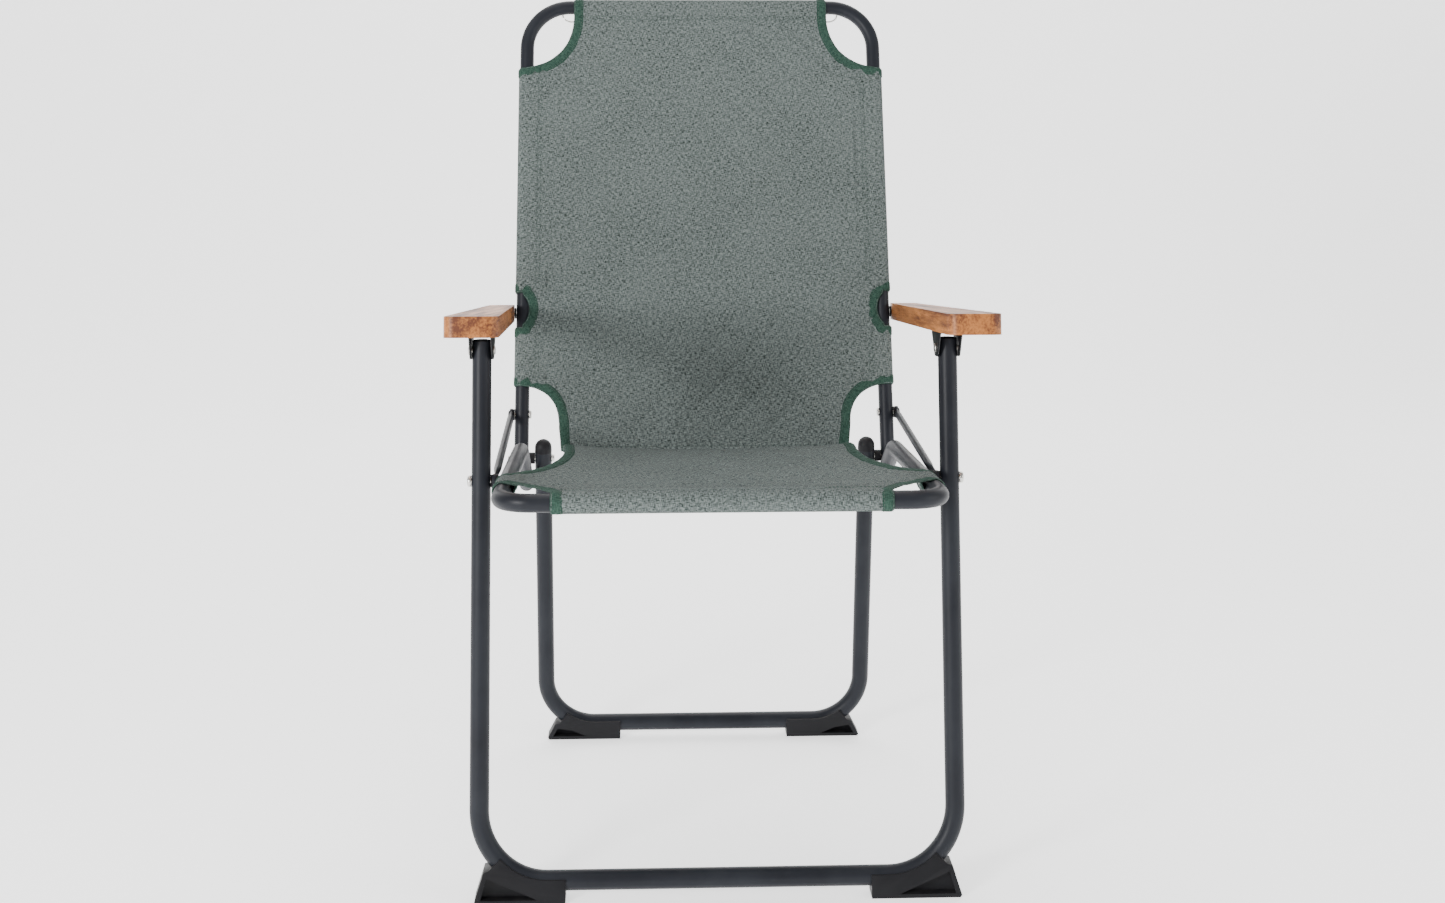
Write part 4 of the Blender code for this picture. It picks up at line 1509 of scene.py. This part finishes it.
@dataclass
class SeatPanel(Panel):
    """The seat of the sling, from the front tube back to the crease. s is measured from the front tube."""

    view: SideView = field(default_factory=SideView)
    front_y: float = -0.325
    front: Notch = field(default_factory=lambda: Notch(0.068, -0.010, 0.2475, 0.1785, 1.4))
    rear: Notch = field(default_factory=lambda: Notch(0.125, 0.290, 0.2475, 0.178, 2.0))
    dip_from: float = 0.30

    def centre(self, s: float) -> tuple[Vector, Vector, Vector]:
        """Return the middle of the row at s, the normal there and the way that s grows."""
        along = Vector((0, math.cos(SEAT_DROP), -math.sin(SEAT_DROP)))
        upward = Vector((0, math.sin(SEAT_DROP), math.cos(SEAT_DROP)))
        start = Vector((0, self.front_y, self.view.rail(self.front_y)))
        share = max(0.0, (s - self.dip_from) / (self.length - self.dip_from))
        dip = 0.028 * share * share
        middle = start + along * s + upward * (self.tube_radius + self.cloth_gap - dip)
        slope = 0.056 * share / (self.length - self.dip_from)
        ahead = (along - upward * slope).normalized()
        return middle, (upward + along * slope).normalized(), ahead

    def half_width(self, s: float) -> float:
        """Return the half width at s, out to the sleeve's tube where there is a sleeve."""
        if self.in_zone(s) >= 0:
            return self.tube_x
        if s < self.front.mouth:
            return min(self.tube_x, self.front.half_width(max(s, 0.0)))
        if s < self.rear.deep:
            return min(self.tube_x, self.rear.half_width(s))
        return 0.178 + 0.010 * (s - self.rear.deep) / (self.length - self.rear.deep)

    def sag(self, s: float) -> float:
        """Return how far the middle hangs down at s."""
        share = min(1.0, max(0.0, s / self.length))
        return 0.011 * math.sin(math.pi * share**0.8) ** 0.9 + 0.001 * share

    def keys(self) -> list[float]:
        """Return the places along s that need a row of their own."""
        dense = [0.068 - 0.068 * t * t for t in (0.1, 0.2, 0.3, 0.45, 0.6, 0.8)]
        dense += [0.125 + 0.165 * t * t for t in (0.06, 0.12, 0.18, 0.25, 0.33, 0.45, 0.6, 0.8)]
        return [0.0, self.length] + [edge for zone in self.zones for edge in zone] + dense


@dataclass
class TapePath:
    """A run of binding: places, the way into the cloth and the surface normals."""

    places: list[Vector] = field(default_factory=list)
    inward: list[Vector] = field(default_factory=list)
    normals: list[Vector] = field(default_factory=list)

    def add(self, place: Vector, inward: Vector, normal: Vector) -> None:
        """Add one place to the run."""
        self.places.append(place)
        self.inward.append(inward.normalized())
        self.normals.append(normal.normalized())


@dataclass
class Binding:
    """The folded tape sewn over the sling's raw edges."""

    width: float = 0.0125
    proud: float = 0.0011
    ruffle: float = 0.0009
    spacing: float = 0.0022

    def resampled(self, run: TapePath) -> TapePath:
        """Space a run's places evenly.

        Args:
            run: The run as it was laid.

        Returns:
            The same run with even spacing.
        """
        lengths = [0.0]
        for first, second in zip(run.places, run.places[1:]):
            lengths.append(lengths[-1] + (second - first).length)
        count = max(2, round(lengths[-1] / self.spacing))
        even = TapePath()
        k = 0
        for i in range(count + 1):
            goal = lengths[-1] * i / count
            while k < len(lengths) - 2 and lengths[k + 1] < goal:
                k += 1
            share = (goal - lengths[k]) / max(1e-9, lengths[k + 1] - lengths[k])
            share = min(1.0, max(0.0, share))
            even.add(
                run.places[k].lerp(run.places[k + 1], share),
                run.inward[k].lerp(run.inward[k + 1], share),
                run.normals[k].lerp(run.normals[k + 1], share),
            )
        return even

    def smoothed(self, run: TapePath, rounds: int = 4) -> TapePath:
        """Even out the run's directions, so that the tape turns softly."""
        for _ in range(rounds):
            for rail in (run.inward, run.normals):
                copy = list(rail)
                for i in range(1, len(rail) - 1):
                    rail[i] = (copy[i - 1] + copy[i] * 2 + copy[i + 1]).normalized()
        return run

    def mesh(self, name: str, runs: Sequence[TapePath]) -> tuple[bpy.types.Mesh, list[list[Vector]]]:
        """Build the tape of several runs as one mesh.

        Args:
            name: The mesh's name.
            runs: The runs.

        Returns:
            The mesh and the stitch line of each run.
        """
        work = bmesh.new()
        layer = work.loops.layers.uv.new("cloth")
        spots: dict[Any, Pair] = {}
        lines = []
        for number, raw in enumerate(runs):
            run = self.smoothed(self.resampled(raw))
            rings = []
            line = []
            for i, place in enumerate(run.places):
                inward = run.inward[i]
                normal = run.normals[i]
                along = i * self.spacing
                wave = noise.noise(Vector((along * 150.0, number * 5.3, 0.4)))
                slow = noise.noise(Vector((along * 45.0, number * 3.1, 9.2)))
                puff = self.proud + self.ruffle * max(0.0, 0.35 + wave)
                wide = self.width * (1.0 + 0.06 * slow)
                section = (
                    (wide, 0.0004),
                    (wide * 0.93, puff * 0.70),
                    (wide * 0.55, puff + self.ruffle * 0.25 * slow),
                    (wide * 0.12, puff * 0.95),
                    (-0.0010 + 0.0003 * wave, 0.0),
                    (wide * 0.12, -puff * 0.95),
                    (wide * 0.55, -puff + self.ruffle * 0.25 * slow),
                    (wide * 0.93, -puff * 0.70),
                    (wide, -0.0004),
                )
                ring = []
                for k, (into, up) in enumerate(section):
                    made = work.verts.new(place + inward * into + normal * up)
                    spots[made] = (k * 0.004, along)
                    ring.append(made)
                rings.append(ring)
                line.append(place + inward * (wide * 0.80) + normal * (puff * 0.85 + 0.0002))
            ring_bands(work, rings)
            lines.append(line)
        for face in work.faces:
            for loop in face.loops:
                loop[layer].uv = spots[loop.vert]
        return finish_mesh(work, name), lines


@dataclass
class Stitcher:
    """Runs of machine stitches laid along lines."""

    finishes: Finishes
    thick: float = 0.00042
    long: float = 0.0030
    pitch: float = 0.0042

    def tree(self) -> bpy.types.NodeTree:
        """Build the tree that lays a stitch at even steps along a line.

        Returns:
            The Geometry Nodes tree.
        """
        tree = bpy.data.node_groups.new("lay_stitches", "GeometryNodeTree")
        tree.interface.new_socket("Lines", in_out="INPUT", socket_type="NodeSocketGeometry")
        for name in ("Thick", "Long", "Pitch"):
            tree.interface.new_socket(name, in_out="INPUT", socket_type="NodeSocketFloat")
        tree.interface.new_socket("Stitches", in_out="OUTPUT", socket_type="NodeSocketGeometry")
        graph = Graph(tree)
        given = graph.node("NodeGroupInput")
        out = graph.node("NodeGroupOutput")
        curve = graph.node("GeometryNodeMeshToCurve")
        graph.join(given.outputs["Lines"], curve.inputs["Mesh"])
        spaced = graph.node("GeometryNodeResampleCurve", mode="LENGTH")
        graph.join(curve.outputs["Curve"], spaced.inputs["Curve"])
        graph.join(given.outputs["Pitch"], spaced.inputs["Length"])
        stitch = graph.node("GeometryNodeMeshUVSphere")
        stitch.inputs["Segments"].default_value = 6
        stitch.inputs["Rings"].default_value = 4
        stitch.inputs["Radius"].default_value = 0.5
        tangent = graph.node("GeometryNodeInputTangent")
        turn = graph.node("FunctionNodeAlignRotationToVector", axis="Z")
        graph.join(tangent.outputs[0], turn.inputs["Vector"])
        size = graph.node("ShaderNodeCombineXYZ")
        double = graph.node("ShaderNodeMath", operation="MULTIPLY")
        double.inputs[1].default_value = 2.0
        graph.join(given.outputs["Thick"], double.inputs[0])
        graph.join(double.outputs[0], size.inputs["X"])
        graph.join(double.outputs[0], size.inputs["Y"])
        graph.join(given.outputs["Long"], size.inputs["Z"])
        lay = graph.node("GeometryNodeInstanceOnPoints")
        graph.join(spaced.outputs["Curve"], lay.inputs["Points"])
        graph.join(stitch.outputs["Mesh"], lay.inputs["Instance"])
        graph.join(turn.outputs[0], lay.inputs["Rotation"])
        graph.join(size.outputs[0], lay.inputs["Scale"])
        real = graph.node("GeometryNodeRealizeInstances")
        graph.join(lay.outputs[0], real.inputs[0])
        paint = graph.node("GeometryNodeSetMaterial")
        paint.inputs["Material"].default_value = self.finishes.thread
        graph.join(real.outputs[0], paint.inputs[0])
        graph.join(paint.outputs[0], out.inputs[0])
        return tree

    def lay(self, name: str, lines: Sequence[Sequence[Vector]]) -> bpy.types.Object:
        """Lay stitches along every line.

        Args:
            name: The piece's name.
            lines: The lines.

        Returns:
            The piece, without a body.
        """
        points: list[Vector] = []
        edges = []
        for line in lines:
            start = len(points)
            points += line
            edges += [(start + i, start + i + 1) for i in range(len(line) - 1)]
        mesh = bpy.data.meshes.new(name + "_lines")
        mesh.from_pydata(points, edges, [])
        guide = bpy.data.objects.new(name + "_lines", mesh)
        bpy.context.collection.objects.link(guide)
        modifier = guide.modifiers.new("stitches", "NODES")
        tree = bpy.data.node_groups.get("lay_stitches") or self.tree()
        modifier.node_group = tree
        values = {"Thick": self.thick, "Long": self.long, "Pitch": self.pitch}
        for item in tree.interface.items_tree:
            if item.item_type == "SOCKET" and item.in_out == "INPUT" and item.name in values:
                modifier[item.identifier] = values[item.name]
        applied(guide)
        made = guide.data
        bpy.data.objects.remove(guide)
        return show(name, made, self.finishes.thread)


@dataclass
class Sling:
    """The whole sling: two panels that meet at the crease, their bindings and their stitching."""

    finishes: Finishes
    view: SideView
    thickness: float = 0.0014

    def panels(self) -> tuple[BackPanel, SeatPanel]:
        """Return the back panel and the seat panel."""
        cosine = math.cos(RECLINE)
        base = 0.4095
        heights = ((0.4925, 0.566), (0.612, 0.9125))
        zones = tuple(((low - base) / cosine, (high - base) / cosine) for low, high in heights)
        length = (1.0 - base) / cosine
        back = BackPanel(
            "sling_back_cloth", "back", 0.2435, 0.0095, length, zones, length, 1.0, view=self.view
        )
        seat = SeatPanel(
            "sling_seat_cloth", "seat", 0.2375, 0.010, 0.4855, ((0.068, 0.125),), 0.0, -1.0, view=self.view
        )
        return back, seat

    def bend(self, piece: bpy.types.Object, panel: Panel) -> None:
        """Bake a piece's transform into its mesh; the piece does not bend, and the panel's middle near the
        crease is looked up but not used.

        Args:
            piece: The piece.
            panel: The panel that it belongs to.
        """
        if isinstance(panel, BackPanel):
            panel.centre(0.075)[0]
            panel.centre(0.004)[0]
            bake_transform(piece)
        else:
            last = panel.length
            panel.centre(last - 0.004)[0]
            panel.centre(last - 0.12)[0]
            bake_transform(piece)

    def edge_run(self, panel: Panel, side: int, low: float, high: float) -> TapePath:
        """Return the run of binding along a notch, with its sleeve ends where it has them.

        Args:
            panel: The panel.
            side: -1 for the left, 1 for the right.
            low: Where the notch starts along s.
            high: Where it ends.

        Returns:
            The run.
        """
        run = TapePath()
        drop = panel.teardrop()[:20]
        _, normal, ahead = panel.centre(low)
        if any(abs(low - zone[1]) < 1e-6 for zone in panel.zones):
            for pair in reversed(drop[1:]):
                facing = Vector((side * pair[0], 0, 0)) + normal * pair[1]
                run.add(panel.side_place(side, low, pair), -ahead, facing)
        self.add_wrap(run, panel, side, low, True)
        rows = [s for s in panel.rows() if low - 1e-6 <= s <= high + 1e-6]
        fine = []
        for first, second in zip(rows, rows[1:]):
            fine += [first, (first + second) / 2]
        fine.append(rows[-1])
        spots = [panel.point(side * panel.half_width(s), s) for s in fine]
        for i, s in enumerate(fine):
            step = spots[min(i + 1, len(spots) - 1)] - spots[max(i - 1, 0)]
            facing = panel.normal(side * (panel.half_width(s) - 0.006), s)
            inward = facing.cross(step)
            if inward.x * side > 0:
                inward = -inward
            run.add(spots[i], inward, facing)
        _, normal, ahead = panel.centre(high)
        if any(abs(high - zone[0]) < 1e-6 for zone in panel.zones):
            for pair in drop[1:]:
                facing = Vector((side * pair[0], 0, 0)) + normal * pair[1]
                run.add(panel.side_place(side, high, pair), ahead, facing)
        self.add_wrap(run, panel, side, high, False)
        return run

    @staticmethod
    def add_wrap(run: TapePath, panel: Panel, side: int, s: float, coming: bool) -> None:
        """Carry a run round the end sleeve where it starts or ends there.

        Args:
            run: The run to add to.
            panel: The panel.
            side: -1 for the left, 1 for the right.
            s: The place along the panel.
            coming: Whether the run starts here.
        """
        if abs(s - panel.wrap_at) > 1e-6:
            return
        drop = panel.teardrop()[1:20]
        half = panel.half_width(s)
        _, normal, ahead = panel.centre(s)
        for pair in reversed(drop) if coming else drop:
            facing = ahead * (panel.wrap_sign * pair[0]) + normal * pair[1]
            run.add(panel.end_place(side * half, pair), Vector((-side, 0, 0)), facing)

    def seam_lines(self, panel: Panel) -> list[list[Vector]]:
        """Return the lines of stitching along the sleeves and the crease."""
        lines = []
        inset = panel.tube_x - panel.tube_radius - 0.0072
        proud = self.thickness * 0.5 + 0.0003
        for low, high in panel.zones:
            count = max(4, round((high - low - 0.02) / 0.004))
            places = [low + 0.010 + (high - low - 0.020) * i / count for i in range(count + 1)]
            for side in (-1, 1):
                for gap in (0.0, 0.0045):
                    lines.append([panel.point(side * (inset - gap), s, proud) for s in places])
        half = panel.half_width(panel.wrap_at) - 0.010
        for gap in (0.0172, 0.0217):
            s = panel.wrap_at - panel.wrap_sign * gap
            xs = [-half + 2 * half * i / 90 for i in range(91)]
            lines.append([panel.point(x, s, proud) for x in xs])
        crease = 0.006 if isinstance(panel, BackPanel) else panel.length - 0.006
        width = panel.half_width(crease) - 0.004
        xs = [-width + 2 * width * i / 90 for i in range(91)]
        lines.append([panel.point(x, crease, proud) for x in xs])
        return lines

    def build_panel(self, panel: Panel, notches: Sequence[Pair], node: str) -> None:
        """Build one panel with its tape and stitches.

        Args:
            panel: The panel.
            notches: The (low, high) range of each notch along s.
            node: The CAD node that the cloth stands for.
        """
        cloth = panel.build_cloth()
        piece = show(panel.name, cloth, self.finishes.cloth, None, [node], 75.0)
        body = piece.modifiers.new("thickness", "SOLIDIFY")
        body.thickness = self.thickness
        body.offset = 0.0
        applied(piece)
        self.bend(piece, panel)
        runs = [self.edge_run(panel, side.value, low, high) for low, high in notches for side in Side]
        tape_mesh, lines = Binding().mesh(panel.name + "_binding", runs)
        tape = show(panel.name + "_binding", tape_mesh, self.finishes.tape, None, [], 80.0)
        self.bend(tape, panel)
        stitches = Stitcher(self.finishes).lay(panel.name + "_stitches", lines + self.seam_lines(panel))
        self.bend(stitches, panel)

    def build(self) -> None:
        """Build the back and the seat."""
        back, seat = self.panels()
        (low_a, high_a), (low_b, high_b) = back.zones
        self.build_panel(back, ((0.0, low_a), (high_a, low_b), (high_b, back.length)), "sling_back")
        (tab_low, tab_high) = seat.zones[0]
        self.build_panel(seat, ((0.0, tab_low), (tab_high, seat.length)), "sling_seat")


@dataclass
class TopLoops:
    """The wire loops under the top tube."""

    finishes: Finishes
    view: SideView
    centre_x: float = 0.181
    half_width: float = 0.013
    wire: float = 0.0011

    def build(self) -> None:
        """Build both loops in place of their CAD nodes."""
        down = Vector((0, -math.sin(RECLINE), -math.cos(RECLINE)))
        for side in Side:
            centre = Vector((side.value * self.centre_x, self.view.back(1.0), 1.0)) + down * 0.0117
            path = []
            for i in range(29):
                turn = math.pi * i / 28
                path.append(
                    centre
                    + Vector((self.half_width * math.cos(turn), 0, 0))
                    + down * (0.0095 * math.sin(turn))
                )
            name = f"top_loop_wire_{side.word}"
            mesh = swept(name, path, self.wire, 14)
            show(name, mesh, self.finishes.zinc, "back", [f"top_loop_{side.word}"], 60.0)


# ---------------------------------------------------------------- studio


@dataclass
class Studio:
    """The floor, the lights and the camera."""

    finishes: Finishes
    eye: tuple[float, float, float] = (-0.0905, -2.240, 0.9653)
    pitch: float = math.radians(2.866)
    yaw: float = math.radians(2.034)
    lens: float = 45.53
    shift: Pair = (0.0147, -0.2268)

    def build_floor(self) -> None:
        """Build a pale floor that curves up into a backdrop."""
        work = bmesh.new()
        profile = [(-6.0, 0.0), (2.0, 0.0)]
        for i in range(1, 13):
            turn = math.pi / 2 * i / 12
            profile.append((2.0 + 1.5 * math.sin(turn), 1.5 * (1 - math.cos(turn))))
        profile.append((3.5, 6.0))
        rows = [[work.verts.new((x, y, z - 0.0002)) for x in (-6.0, 6.0)] for y, z in profile]
        for row, following in zip(rows, rows[1:]):
            work.faces.new((row[0], row[1], following[1], following[0]))
        mesh = bpy.data.meshes.new("studio_floor")
        work.to_mesh(mesh)
        work.free()
        mesh.shade_smooth()
        mesh.materials.append(self.finishes.floor)
        shader = self.finishes.floor.node_tree.nodes["Principled BSDF"]
        shader.inputs["Emission Color"].default_value = (1.0, 1.0, 1.0, 1.0)
        shader.inputs["Emission Strength"].default_value = 1.1
        floor = bpy.data.objects.new("studio_floor", mesh)
        bpy.context.collection.objects.link(floor)

    def build_lights(self) -> None:
        """Build soft lights above, in front and beside the chair."""
        world = bpy.data.worlds.new("studio_world")
        world.use_nodes = True
        background = world.node_tree.nodes["Background"]
        background.inputs["Color"].default_value = (1.0, 1.0, 1.0, 1.0)
        background.inputs["Strength"].default_value = 0.60
        bpy.context.scene.world = world
        for name, place, size, power in (
            ("top_light", (-0.4, -0.6, 3.4), 1.6, 25.0),
            ("left_light", (-2.4, -2.6, 1.3), 0.8, 120.0),
            ("right_light", (2.8, -1.4, 1.3), 1.2, 32.0),
            ("back_light", (0.0, 1.6, 3.4), 2.6, 60.0),
        ):
            lamp = bpy.data.lights.new(name, "AREA")
            lamp.energy = power
            lamp.size = size
            made = bpy.data.objects.new(name, lamp)
            made.location = place
            aim = Vector((0.0, 0.0, 0.5)) - Vector(place)
            made.rotation_euler = aim.to_track_quat("-Z", "Y").to_euler()
            bpy.context.collection.objects.link(made)

    def build_camera(self) -> None:
        """Build the camera in front of the chair."""
        camera = bpy.data.cameras.new("camera")
        camera.lens = self.lens
        camera.sensor_width = 36.0
        camera.shift_x, camera.shift_y = self.shift
        camera.clip_start = 0.05
        made = bpy.data.objects.new("camera", camera)
        made.location = self.eye
        made.rotation_euler = (math.pi / 2 - self.pitch, 0.0, -self.yaw)
        bpy.context.collection.objects.link(made)
        bpy.context.scene.camera = made

    def build(self) -> None:
        """Build the whole studio."""
        self.build_floor()
        self.build_lights()
        self.build_camera()


def main() -> None:
    """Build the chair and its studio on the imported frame."""
    logging.basicConfig(level=logging.INFO, format="%(message)s")
    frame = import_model()
    finishes = Finishes()
    view = SideView()
    Studio(finishes).build()
    frames = TubeFrames(finishes, view, joint_place(frame, "seat_fold"))
    frames.build()
    rear_pin = centre_of("link_cap_left")
    rear_pin.x = 0.0
    Links(finishes, joint_place(frame, "link_swing"), rear_pin).build()
    Armrests(finishes, joint_place(frame, "back_fold")).build()
    Fasteners(finishes).build()
    EndCaps(finishes, view, frames).build()
    MouldedFeet(finishes).build()
    TopLoops(finishes, view).build()
    Sling(finishes, view).build()
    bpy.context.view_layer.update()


if __name__ == "__main__":
    main()
